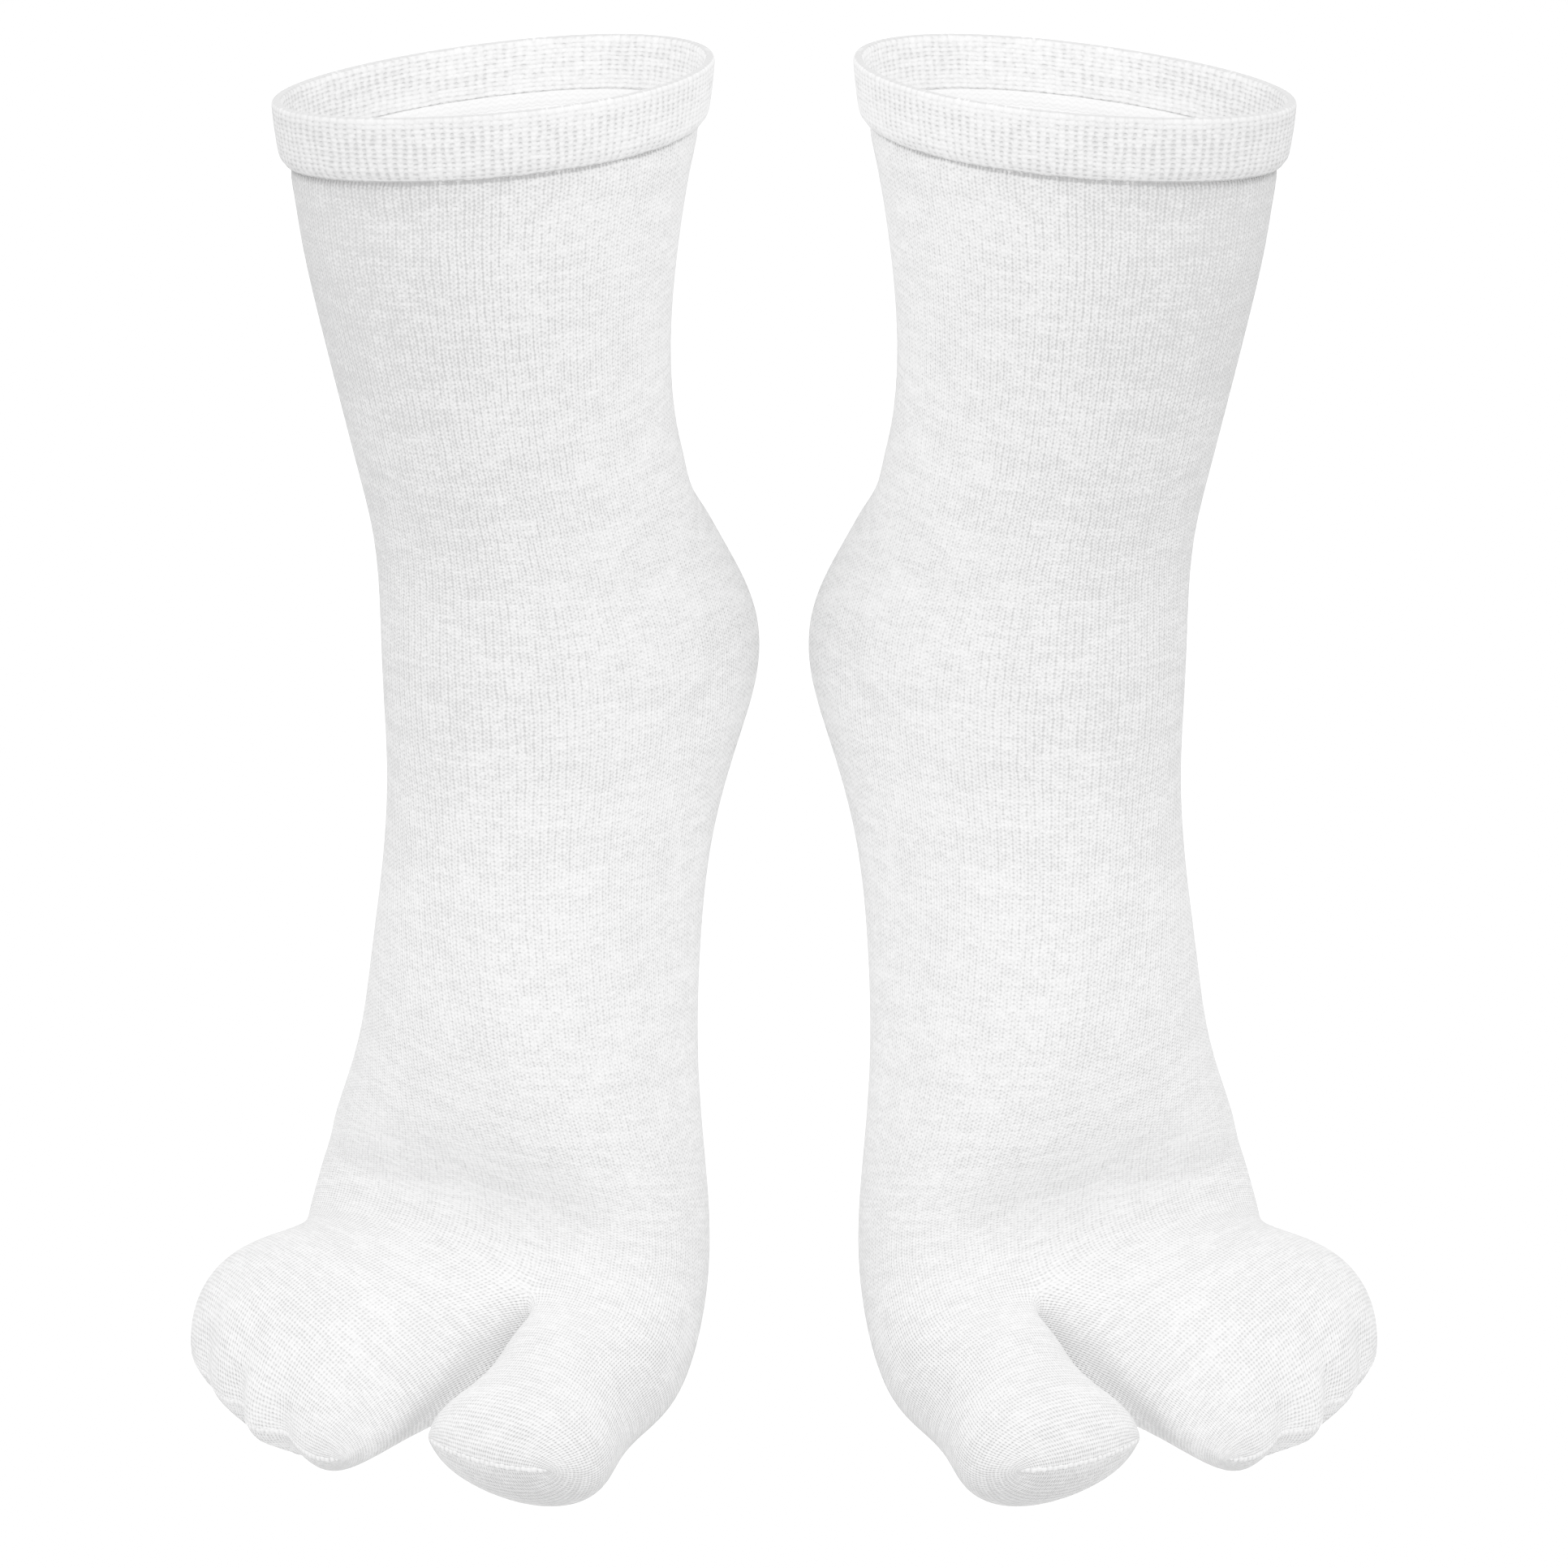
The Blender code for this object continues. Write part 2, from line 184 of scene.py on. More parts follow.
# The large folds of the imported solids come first, then the finer creases.
CREASES: tuple[Crease, ...] = (
    Crease("below the welt, heel side", (-20, -45, 26), (2, -48, 29), (26, -38, 27), 7, 0.8),
    Crease("below the welt, shin side", (-32, 34, 27), (-12, 45, 30), (8, 47, 28), 7, 0.6),
    Crease("above the heel", (-28, -36, 106), (0, -50, 111), (26, -38, 107), 8, 1.3),
    Crease("outer side of the ankle", (31, -22, 118), (35, -8, 124), (30, 12, 122), 7, 0.8),
    Crease("inner side of the ankle", (-32, -24, 122), (-35, -8, 127), (-30, 10, 123), 7, 0.9),
    Crease("outer end of the heel gore", (28, -46, 146), (33, -34, 158), (33, -20, 168), 7, 0.8),
    Crease("inner end of the heel gore", (-28, -48, 150), (-33, -36, 160), (-33, -22, 172), 7, 0.8),
    Crease("where the big toe bends", (-38, 12, 285), (-28, 22, 287), (-14, 28, 285), 5, 0.6),
    Crease("where the small toes bend", (14, 29, 281), (28, 26, 279), (40, 18, 280), 6, 0.3),
    Crease("top of the foot", (-6, 30, 262), (-8, 30, 274), (-16, 30, 288), 8, 0.5),
    Crease("outer edge above the toes", (32, 22, 272), (43, 14, 277), (49, 0, 275), 7, 0.4),
    Crease("under the ball", (-26, -26, 308), (0, -24, 318), (28, -16, 314), 8, 1.0),
    Crease("second and third toe", (10, 62, 300), (10, 72, 312), (9, 79, 331), 7, 0.6),
    Crease("third and fourth toe", (31, 60, 298), (31, 69, 309), (31, 78, 329), 7, 0.7),
    Crease("fourth and little toe", (50, 50, 295), (50, 60, 306), (49, 69, 327), 7, 0.6),
    Crease("second and third toe tips", (10, 74, 318), (9, 79, 331), (9, 70, 343), 6, 2.0),
    Crease("third and fourth toe tips", (31, 71, 315), (31, 77, 329), (31, 68, 341), 6, 2.4),
    Crease("fourth and little toe tips", (50, 62, 312), (50, 69, 326), (50, 60, 338), 5, 1.2),
    Crease("second toe", (-7, 66, 316), (-8, 74, 331), (-8, 66, 343), 8, -1.6),
    Crease("third toe", (20, 70, 316), (20, 77, 330), (20, 69, 342), 7, -1.4),
)


def run_along(points: np.ndarray) -> np.ndarray:
    """How far each of a row of points lies from the first, measured along the row."""
    return np.concatenate([[0], np.cumsum(np.linalg.norm(np.diff(points, axis=0), axis=1))])


@dataclass
class Surface:
    """A surface of four-sided faces, with its stitch map and named values at its points."""

    points: np.ndarray  # (n, 3), metres
    faces: np.ndarray  # (m, 4)
    stitches: np.ndarray  # (4 m, 2), wale and course at each corner of each face
    values: dict[str, np.ndarray] = field(default_factory=dict)

    def mirrored(self) -> Surface:
        """The same surface on the other side of the plane x = 0, still facing outwards."""
        corners = self.stitches.reshape(-1, 4, 2)[:, ::-1].reshape(-1, 2)
        return Surface(self.points * (-1, 1, 1), self.faces[:, ::-1], corners, dict(self.values))

    def on(self, foot: Foot) -> Surface:
        """The surface placed on a foot's side, from the right foot's place."""
        return self if foot is Foot.RIGHT else self.mirrored()

    def normals(self) -> np.ndarray:
        """Outward unit normals at the points: the faces' cross products, added and scaled."""
        corner = self.points[self.faces]
        across = np.cross(corner[:, 2] - corner[:, 0], corner[:, 3] - corner[:, 1])
        total = np.zeros_like(self.points)
        for k in range(4):
            np.add.at(total, self.faces[:, k], across)
        return total / np.maximum(np.linalg.norm(total, axis=1, keepdims=True), 1e-12)

    def mesh(self, name: str) -> bpy.types.Mesh:
        """Writes the surface into a new smooth-shaded mesh with the stitch map.

        Args:
            name: the mesh's name.

        Returns:
            The new mesh.
        """
        mesh = bpy.data.meshes.new(name)
        mesh.from_pydata(self.points.tolist(), [], self.faces.tolist())
        layer = mesh.uv_layers.new(name=STITCH_MAP)
        layer.uv.foreach_set("vector", (self.stitches / MAP_STITCHES).ravel().astype(np.float32))
        for key, values in self.values.items():
            attribute = mesh.attributes.new(key, "FLOAT", "POINT")
            attribute.data.foreach_set("value", values.astype(np.float32))
        mesh.shade_smooth()
        return mesh

    @classmethod
    def of(cls, mesh: bpy.types.Mesh, keys: tuple[str, ...] = ()) -> Surface:
        """Reads a mesh of four-sided faces back into arrays, with the named values."""
        points = np.empty(len(mesh.vertices) * 3)
        mesh.vertices.foreach_get("co", points)
        corners = np.empty(len(mesh.loops), np.int64)
        mesh.loops.foreach_get("vertex_index", corners)
        stitches = np.empty(len(mesh.loops) * 2)
        mesh.uv_layers[STITCH_MAP].uv.foreach_get("vector", stitches)
        values = {}
        for key in keys:
            values[key] = np.empty(len(mesh.vertices))
            mesh.attributes[key].data.foreach_get("value", values[key])
        stitches = stitches.reshape(-1, 2) * MAP_STITCHES
        return cls(points.reshape(-1, 3), corners.reshape(-1, 4), stitches, values)

    @classmethod
    def of_rings(
        cls, points: np.ndarray, wales: np.ndarray, courses: np.ndarray, turned: bool = False
    ) -> Surface:
        """A tube through closed rings of points.

        Args:
            points: (rings, points of a ring, 3), metres.
            wales: at each point of a ring, and again at the first one after the round.
            courses: at each ring.
            turned: True if the rings run the other way round, so that its faces do too.

        Returns:
            The surface, with its stitch map.
        """
        rings, count = points.shape[:2]
        index = np.arange(rings * count).reshape(rings, count)
        after = np.roll(index, -1, axis=1)
        corners = [index[:-1], after[:-1], after[1:], index[1:]]
        grid = np.stack(np.broadcast_arrays(wales, courses[:, None]), axis=-1)
        stitches = [grid[:-1, :-1], grid[:-1, 1:], grid[1:, 1:], grid[1:, :-1]]
        if turned:
            corners, stitches = corners[:1] + corners[:0:-1], stitches[:1] + stitches[:0:-1]
        return cls(
            points.reshape(-1, 3),
            np.stack(corners, axis=-1).reshape(-1, 4),
            np.stack(stitches, axis=2).reshape(-1, 2),
        )


class Net:
    """The coarse net of a sock: points, faces and the stitch count at each face's corners."""

    def __init__(self, wales: float) -> None:
        """wales is how many wales lie between two neighbouring points of a ring."""
        self.wales = wales
        self.points: list[np.ndarray] = []
        self.faces: list[np.ndarray] = []
        self.stitches: list[np.ndarray] = []
        self.seam_points: list[np.ndarray] = []
        self.count = 0

    def add(self, points: np.ndarray) -> np.ndarray:
        """Adds points, and returns their indices."""
        first = self.count
        self.points.append(points)
        self.count += len(points)
        return np.arange(first, self.count)

    def band(
        self, upper: np.ndarray, lower: np.ndarray, segments: np.ndarray, courses: tuple[float, float]
    ) -> None:
        """Joins two rings of as many points by a band of faces.

        Args:
            upper: indices of the upper ring.
            lower: indices of the lower ring.
            segments: for each face of the band, which segment of wales it starts at.
            courses: course numbers of the upper and the lower ring.
        """
        after_upper, after_lower = np.roll(upper, -1), np.roll(lower, -1)
        self.faces.append(np.stack([upper, after_upper, after_lower, lower], axis=1))
        first, last = segments * self.wales, (segments + 1) * self.wales
        top, bottom = np.full(len(upper), courses[0]), np.full(len(upper), courses[1])
        corners = [(first, top), (last, top), (last, bottom), (first, bottom)]
        self.stitches.append(np.stack([np.stack(c, axis=1) for c in corners], axis=1).reshape(-1, 2))

    def surface(self) -> Surface:
        """The net as a surface, with the value "seam" 1 on the linked seams."""
        seam = np.zeros(self.count)
        seam[np.concatenate(self.seam_points)] = 1
        return Surface(
            np.concatenate(self.points),
            np.concatenate(self.faces),
            np.concatenate(self.stitches),
            {"seam": seam},
        )


@dataclass
class SockForm:
    """The outer face of one right sock, worked out from its sections and creases."""

    lateral_segments: int = 12  # round the little-toe side, between the ends of the cleft
    medial_segments: int = 8  # round the big-toe side
    cleft_segments: int = 4  # across the web of the cleft
    wales_per_segment: float = 6.75
    foot_cleft: float = -0.42  # where the cleft lies across a ring, from -1 to +1
    big_toe_cleft: float = 0.62  # where the cleft's side lies across the stall
    pocket_cleft: float = -0.80  # where it lies across the pocket
    pinch_width: float = 0.22  # of the bell that draws the line of the cleft in
    lag_power: float = 1.6  # how late towards the little toe the lag sets in
    bow_power: float = 2.5  # how late towards both sides the bow does
    leg_course: float = 1.06 * MM  # height of a course in the leg
    toe_course: float = 1.12 * MM  # height of a course in the toes, where it is stretched
    rim_spacing: float = 136 * MM  # between the centres of the two openings
    toe_out: float = math.radians(48)  # how far the toes turn from the line across the pair
    levels: int = 3  # of subdivision
    outline_points: int = 400  # to measure one side of an outline with
    curve_points: int = 33  # to measure the distance to a crease with

    @property
    def segments(self) -> int:
        """How many segments a whole ring has."""
        return self.lateral_segments + self.medial_segments

    def outline(self, section: Section, angles: np.ndarray) -> tuple[np.ndarray, np.ndarray]:
        """Points of a section's outline at the given angles, as (across, up) arrays.

        A superellipse with its own reach on the dorsal and the plantar side: across is the
        half width times the sine, up is the reach times the cosine, each to the power of
        2 / fullness. A bell over the line of the cleft draws the reach in by the pinch, and
        up is scaled down towards the little toe by the taper.

        Args:
            section: the section's sizes.
            angles: angles from the top of the foot, in radians.

        Returns:
            The two coordinates, in millimetres.
        """
        sine, cosine = np.sin(angles), np.cos(angles)
        power = 2 / section.fullness
        across = np.sign(sine) * np.abs(sine) ** power
        reach = np.where(cosine > 0, section.dorsal, section.plantar)
        drawn_in = section.pinch * np.exp(-(((across - self.foot_cleft) / self.pinch_width) ** 2))
        up = (reach - drawn_in) * np.sign(cosine) * np.abs(cosine) ** power
        return section.half_width * across, up * (1 - section.taper * across)

    def stretch(self, section: Section, cleft: float, lateral: bool, count: int) -> np.ndarray:
        """Points evenly along one side of an outline, from one line of the cleft to the other.

        Args:
            section: the section's sizes.
            cleft: where the line lies across the section, from -1 to +1.
            lateral: True round the little-toe side, from the top of the foot to the sole,
                False round the big-toe side and back to the top.
            count: number of segments.

        Returns:
            The first count points, (count, 2), in millimetres.
        """
        start = math.asin(math.copysign(abs(cleft) ** (section.fullness / 2), cleft))
        ends = (start, math.pi - start) if lateral else (math.pi - start, 2 * math.pi + start)
        across, up = self.outline(section, np.linspace(*ends, self.outline_points))
        run = run_along(np.stack([across, up], axis=1))
        at = np.linspace(0, run[-1], count + 1)[:-1]
        return np.stack([np.interp(at, run, across), np.interp(at, run, up)], axis=1)

    def ring(self, section: Section, cleft: float, lateral: int, medial: int) -> np.ndarray:
        """The points of a section, in metres: x lateral, y forward, z up.

        Each outline point moves back along the path by the lag, which grows towards the
        little toe, and by the bow, which grows to both sides. The ring is then tipped by
        the bend, turned about the vertical and set at its centre.
        """
        flat = np.concatenate(
            [self.stretch(section, cleft, True, lateral), self.stretch(section, cleft, False, medial)]
        )
        # Subdividing a ring pulls it inside its net by this share.
        across, up = (flat / math.cos(math.pi / self.segments)).T
        share = flat[:, 0] / section.half_width
        behind = section.lag * (0.5 + 0.5 * share) ** self.lag_power
        behind += section.bow * np.abs(share) ** self.bow_power
        bend, turn = math.radians(section.bend), math.radians(section.turn)
        ahead = up * math.cos(bend) - behind * math.sin(bend)
        x = section.lateral + across * math.cos(turn) - ahead * math.sin(turn)
        y = section.forward + across * math.sin(turn) + ahead * math.cos(turn)
        z = -section.drop + up * math.sin(bend) + behind * math.cos(bend)
        return np.stack([x, y, z], axis=1) * MM

    def tube(
        self,
        net: Net,
        last: np.ndarray,
        sections: tuple[Section, ...],
        counts: tuple[float, int, int],
        segments: np.ndarray,
        course: float,
        course_height: float,
    ) -> tuple[np.ndarray, float]:
        """Carries a ring on through sections, counting courses by the mean step between rings.

        Args:
            net: the net to add to.
            last: indices of the ring that the tube starts at.
            sections: the sections to pass through.
            counts: the line of the cleft, and the segments round its two sides.
            segments: the wale segment that each face starts at.
            course: course number of the first ring.
            course_height: height of one course.

        Returns:
            The last ring's indices and its course number.
        """
        for section in sections:
            added = net.add(self.ring(section, *counts))
            points = np.concatenate(net.points)
            step = np.linalg.norm(points[added] - points[last], axis=1).mean()
            below = course + step / course_height
            net.band(last, added, segments, (course, below))
            last, course = added, below
        return last, course

    def seam(
        self,
        net: Net,
        last: np.ndarray,
        section: Section,
        counts: tuple[float, int, int],
        segments: np.ndarray,
        course: float,
        end: int,
    ) -> None:
        """Closes a tube: its top and bottom points meet in pairs along one seam line.

        end is the index of the ring point at one end of the seam.
        """
        points, count = self.ring(section, *counts), len(last)
        pairs = np.arange(count // 2 + 1)
        one, other = (end + pairs) % count, (end - pairs) % count
        joined = net.add((points[one] + points[other]) / 2)
        row = np.empty(count, np.int64)
        row[one] = row[other] = joined
        every = np.concatenate(net.points)
        step = np.linalg.norm(every[row] - every[last], axis=1).mean()
        net.band(last, row, segments, (course, course + step / self.toe_course))
        net.seam_points.append(joined)

    def net(self) -> Net:
        """The coarse net of the whole sock, open at the top."""
        net = Net(self.wales_per_segment)
        lateral, medial, web = self.lateral_segments, self.medial_segments, self.cleft_segments
        foot = (self.foot_cleft, lateral, medial)
        # Wales run on from the sole's end of the cleft over the big-toe side, and a whole
        # round of them is reached at its top end, where each ring starts.
        round_foot = np.concatenate(
            [self.segments + np.arange(lateral), lateral + np.arange(medial)]
        )
        top = net.add(self.ring(LEG_AND_FOOT[0], *foot))
        last, course = self.tube(
            net, top, LEG_AND_FOOT[1:], foot, round_foot, 0.0, self.leg_course
        )

        # The web of the cleft crosses the last ring from the top of the foot to the sole.
        points = np.concatenate(net.points)
        upper, lower = last[0], last[lateral]
        share = np.linspace(0, 1, web + 1)[1:-1, None]
        crossing = net.add(points[upper] * (1 - share) + points[lower] * share)

        stall = np.concatenate([[upper], crossing, last[lateral:]])
        counts = (self.big_toe_cleft, web, medial)
        round_toe = np.concatenate([self.segments + np.arange(web), lateral + np.arange(medial)])
        tip, toe_course = self.tube(
            net, stall, BIG_TOE[:-1], counts, round_toe, course, self.toe_course
        )
        self.seam(net, tip, BIG_TOE[-1], counts, round_toe, toe_course, web // 2)

        pocket = np.concatenate([last[: lateral + 1], crossing[::-1]])
        counts = (self.pocket_cleft, lateral, web)
        round_pocket = self.segments + np.concatenate([np.arange(lateral), np.arange(-web, 0)])
        tip, toe_course = self.tube(
            net, pocket, FOUR_TOES[:-1], counts, round_pocket, course, self.toe_course
        )
        self.seam(net, tip, FOUR_TOES[-1], counts, round_pocket, toe_course, lateral // 2)
        return net

    def smooth(self) -> Surface:
        """The net after subdivision, in the right foot's frame."""
        surface = self.net().surface()
        mesh = surface.mesh("sock_net")
        helper = bpy.data.objects.new("sock_net", mesh)
        bpy.context.scene.collection.objects.link(helper)
        subdivision = helper.modifiers.new("smooth", "SUBSURF")
        subdivision.levels = subdivision.render_levels = self.levels
        graph = bpy.context.evaluated_depsgraph_get()
        fine = bpy.data.meshes.new_from_object(helper.evaluated_get(graph))
        result = Surface.of(fine, ("seam",))
        bpy.data.objects.remove(helper)
        bpy.data.meshes.remove(mesh)
        bpy.data.meshes.remove(fine)
        return result

    def distance_to(
        self, points: np.ndarray, places: tuple[Triple, Triple, Triple]
    ) -> tuple[np.ndarray, np.ndarray]:
        """How far points lie from a curve through three places on the surface.

        Each place moves to the nearest point first. The curve is the parabola through all
        three: the first and last are its ends, and its control point is twice the middle
        less the ends' mean.

        Args:
            points: (n, 3), metres.
            places: three places (lateral, forward, drop), in millimetres.

        Returns:
            The distances, and how far along the curve each nearest place lies, from 0 to 1.
        """
        wanted = np.array(places) * (MM, MM, -MM)
        nearest = np.linalg.norm(points[None] - wanted[:, None], axis=2).argmin(axis=1)
        start, middle, end = points[nearest]
        along = np.linspace(0, 1, self.curve_points)[:, None]
        control = 2 * middle - (start + end) / 2
        curve = start * (1 - along) ** 2 + 2 * control * along * (1 - along) + end * along**2
        away = np.linalg.norm(points[:, None] - curve[None], axis=2)
        best = away.argmin(axis=1)
        return away[np.arange(len(points)), best], along[best, 0]

    def creased(self, surface: Surface) -> Surface:
        """Presses every crease in along the normals.

        A crease's depth falls off across it as (1 - s^2 / 2) exp(-s^2), where s is the
        distance over the width, which leaves a faint ridge on both sides, and along it as
        the square root of the sine of the share of its length.
        """
        pressed = np.zeros(len(surface.points))
        for crease in CREASES:
            away, along = self.distance_to(
                surface.points, (crease.start, crease.middle, crease.end)
            )
            share = (away / (crease.width * MM)) ** 2
            fade = np.sqrt(np.clip(np.sin(math.pi * along), 0, 1))
            pressed += crease.depth * MM * (1 - share / 2) * np.exp(-share) * fade
        moved = surface.points - surface.normals() * pressed[:, None]
        return replace(surface, points=moved)

    def placed(self, surface: Surface) -> Surface:
        """Turns and moves a surface from the right foot's frame to its place in the pair."""
        angle = math.pi / 2 + self.toe_out
        cosine, sine = math.cos(angle), math.sin(angle)
        x, y, z = surface.points.T
        turned = np.stack([x * cosine - y * sine, x * sine + y * cosine, z], axis=1)
        return replace(surface, points=turned - (self.rim_spacing / 2, 0, 0))


# ---------------------------------------------------------------------------
# Finishes
# ---------------------------------------------------------------------------

Socket = bpy.types.NodeSocket
Value = Socket | float
Stitch = tuple[Socket, Socket]  # a place on the knit, as wale and course


class Fade(NamedTuple):
    """A smooth change from start to end, while something goes from low to high."""

    low: float
    high: float
    start: float
    end: float


class Depth(NamedTuple):
    """How deep the painted shade in the gaps or the holes between stitches is, from 0 to 1."""

    everywhere: float
    leg: float  # added in the leg
    toes: float  # added in the toes


class Side(NamedTuple):
    """A side of the tube: the wale at its middle, past the top line, and how narrow it is."""

    wale: float
    power: float


class Patch(NamedTuple):
    """The size of an unevenness in the knit, and its noise."""

    wales: float
    courses: float
    detail: float
    rough: float = 0.6
    offset: float = 0.0  # sets a noise apart from another of the same size


STREAKS = Patch(4.0, 1.3, 3.0)  # where the yarn is thicker or thinner along a course
CLOUDS = Patch(12.0, 7.0, 3.0)
GRAIN = Patch(0.45, 0.9, 1.0, 0.5)  # from stitch to stitch
BREAKS = Patch(0.5, 3.5, 2.0)  # darker and paler lengths of the gap between two wales
WALE_WANDER = Patch(2.0, 5.0, 2.0, 0.5)
COURSE_WANDER = WALE_WANDER._replace(offset=31.0)

STREAKS_SHARE = 0.65  # of the streaks in the tone; the clouds have the rest
TOE_CONTRAST = Fade(250.0, 310.0, 1.0, 1.2)  # of the tone, by course
PATCHY = Fade(0.36, 0.64, 0.0, 1.0)  # draws a noise out over 0 to 1, in clear patches
GENTLE = Fade(0.28, 0.72, 0.0, 1.0)  # the same, more softly

OUTER = Side(15.0, 3.0)  # faces away from the other foot, where the knit is stretched most and painted shade greys it
OUTER_HALF = Side(15.0, 1.0)  # the same side, fading all the way round

COTTON = {"Roughness": 0.92, "Specular IOR Level": 0.2, "Sheen Weight": 0.12, "Sheen Roughness": 0.6}
BOARD = {"Roughness": 0.95, "Specular IOR Level": 0.1}


class Wiring:
    """Adds nodes to one tree and joins them, a method for each kind of step."""

    def __init__(self, tree: bpy.types.NodeTree) -> None:
        """tree is the node tree of a material or a node group."""
        self.tree = tree

    def node(self, kind: str, **settings: object) -> bpy.types.Node:
        """Adds a node of a kind and sets its properties."""
        node = self.tree.nodes.new(kind)
        for key, value in settings.items():
            setattr(node, key, value)
        return node

    def feed(self, socket: Socket, value: object) -> None:
        """Links an output socket to an input, or sets the input's own value."""
        if isinstance(value, bpy.types.NodeSocket):
            self.tree.links.new(value, socket)
        else:
            socket.default_value = value

    def math(self, operation: str, *values: Value, clamp: bool = False) -> Socket:
        """One Math node: the operation on one, two or three values."""
        node = self.node("ShaderNodeMath", operation=operation, use_clamp=clamp)
        for socket, value in zip(node.inputs, values):
            self.feed(socket, value)
        return node.outputs[0]

    def plus(self, one: Value, other: Value) -> Socket:
        """The sum of two values."""
        return self.math("ADD", one, other)

    def minus(self, one: Value, other: Value) -> Socket:
        """The first value less the second."""
        return self.math("SUBTRACT", one, other)

    def times(self, one: Value, other: Value) -> Socket:
        """The product of two values."""
        return self.math("MULTIPLY", one, other)

    def times_plus(self, one: Value, other: Value, added: Value) -> Socket:
        """The product of two values, and a third added to it."""
        return self.math("MULTIPLY_ADD", one, other, added)

    def power(self, base: Value, exponent: float) -> Socket:
        """A value to a power."""
        return self.math("POWER", base, exponent)

    def apart(self, one: Value, other: Value) -> Socket:
        """How far apart two values are."""
        return self.math("ABSOLUTE", self.minus(one, other))

    def cosine(self, turns: Value) -> Socket:
        """The cosine of that many turns."""
        return self.math("COSINE", self.times(turns, 2 * math.pi))

    def wave(self, turns: Value) -> Socket:
        """Half of one plus the cosine of that many turns: 1 at whole turns, 0 halfway."""
        return self.times_plus(self.cosine(turns), 0.5, 0.5)

    def chevrons(self, wale: Value, course: Value) -> Socket:
        """A wave of the course that swings half a course up and back once every wale."""
        return self.wave(self.plus(course, self.math("PINGPONG", wale, 0.5)))

    def ramp(self, value: Value, low: float, high: float, start: Value, end: Value) -> Socket:
        """Eases from start to end while value goes from low to high."""
        node = self.node("ShaderNodeMapRange", interpolation_type="SMOOTHSTEP")
        for key, item in zip(
            ("Value", "From Min", "From Max", "To Min", "To Max"), (value, low, high, start, end)
        ):
            self.feed(node.inputs[key], item)
        return node.outputs["Result"]

    def vector(self, x: Value, y: Value, z: Value) -> Socket:
        """Joins three numbers into a vector."""
        node = self.node("ShaderNodeCombineXYZ")
        for socket, value in zip(node.inputs, (x, y, z)):
            self.feed(socket, value)
        return node.outputs[0]

    def parts(self, vector: Socket) -> tuple[Socket, Socket, Socket]:
        """Splits a vector into its three numbers."""
        node = self.node("ShaderNodeSeparateXYZ")
        self.feed(node.inputs[0], vector)
        return tuple(node.outputs)

    def object_place(self) -> Socket:
        """The place on the piece, in metres."""
        return self.node("ShaderNodeTexCoord").outputs["Object"]

    def noise(self, at: Socket, scale: float, detail: float, rough: float) -> Socket:
        """Smooth noise around 0.5 at a place, with scale features to a unit."""
        node = self.node("ShaderNodeTexNoise")
        for key, value in zip(("Vector", "Scale", "Detail", "Roughness"), (at, scale, detail, rough)):
            self.feed(node.inputs[key], value)
        return node.outputs[0]

    def group(self, tree: bpy.types.NodeTree, **inputs: object) -> bpy.types.Node:
        """Places a node group and feeds its inputs."""
        node = self.node("ShaderNodeGroup", node_tree=tree)
        for key, value in inputs.items():
            self.feed(node.inputs[key], value)
        return node


def new_group(
    name: str, inputs: dict[str, float], outputs: tuple[str, ...]
) -> tuple[bpy.types.NodeTree, Wiring, dict[str, Socket], dict[str, Socket]]:
    """Starts a shader node group whose sockets are all numbers.

    Args:
        name: the group's name.
        inputs: names and first values of its inputs, besides Wale and Course.
        outputs: names of its outputs.

    Returns:
        The tree, its wiring, its inputs to read and its outputs to feed, by name.
    """
    tree = bpy.data.node_groups.new(name, "ShaderNodeTree")
    for key, value in {"Wale": 0.0, "Course": 0.0, **inputs}.items():
        socket = tree.interface.new_socket(key, in_out="INPUT", socket_type="NodeSocketFloat")
        socket.default_value = value
    for key in outputs:
        tree.interface.new_socket(key, in_out="OUTPUT", socket_type="NodeSocketFloat")
    wiring = Wiring(tree)
    source, sink = wiring.node("NodeGroupInput"), wiring.node("NodeGroupOutput")
    return tree, wiring, dict(source.outputs.items()), dict(sink.inputs.items())


def new_material(
    name: str, settings: dict[str, object]
) -> tuple[bpy.types.Material, bpy.types.Node]:
    """Starts a material, with plain values on its shader's own sockets.

    Args:
        name: the material's name.
        settings: the sockets and their values.

    Returns:
        The material and its shader.
    """
    material = bpy.data.materials.new(name)
    material.use_nodes = True
    shader = material.node_tree.nodes["Principled BSDF"]
    for key, value in settings.items():
        shader.inputs[key].default_value = value
    return material, shader


@dataclass(frozen=True)
class LoopShape:
    """The face of plain knit; a higher power makes a mark narrower."""

    brick_power: float = 1.9  # of the holes in the leg
    square_power: float = 1.1  # of the holes in the toes
    gap_power: float = 1.4
    middle: float = 0.4  # depth of the gap down the middle of a loop, of that between two
    leg_power: float = 0.6  # of the loops' legs
    chevrons: float = 0.45  # their share of a leg's height
    sunk: float = 0.8  # depth of a hollow, of a leg's height


@dataclass(frozen=True)
class RibShape:
    """The face of the mock rib; a higher power makes a mark narrower."""

    across_power: float = 1.4  # of a dash
    high_power: float = 1.7
    dash: float = 0.95  # how hollow a dash is
    groove: float = 0.16  # how hollow the column is between two dashes
    groove_power: float = 3.0
    band_power: float = 1.5  # of the band between two columns
    chevrons: float = 0.4  # their share of the band's height
    sunk: float = 0.8  # depth of a dash, of the band's height


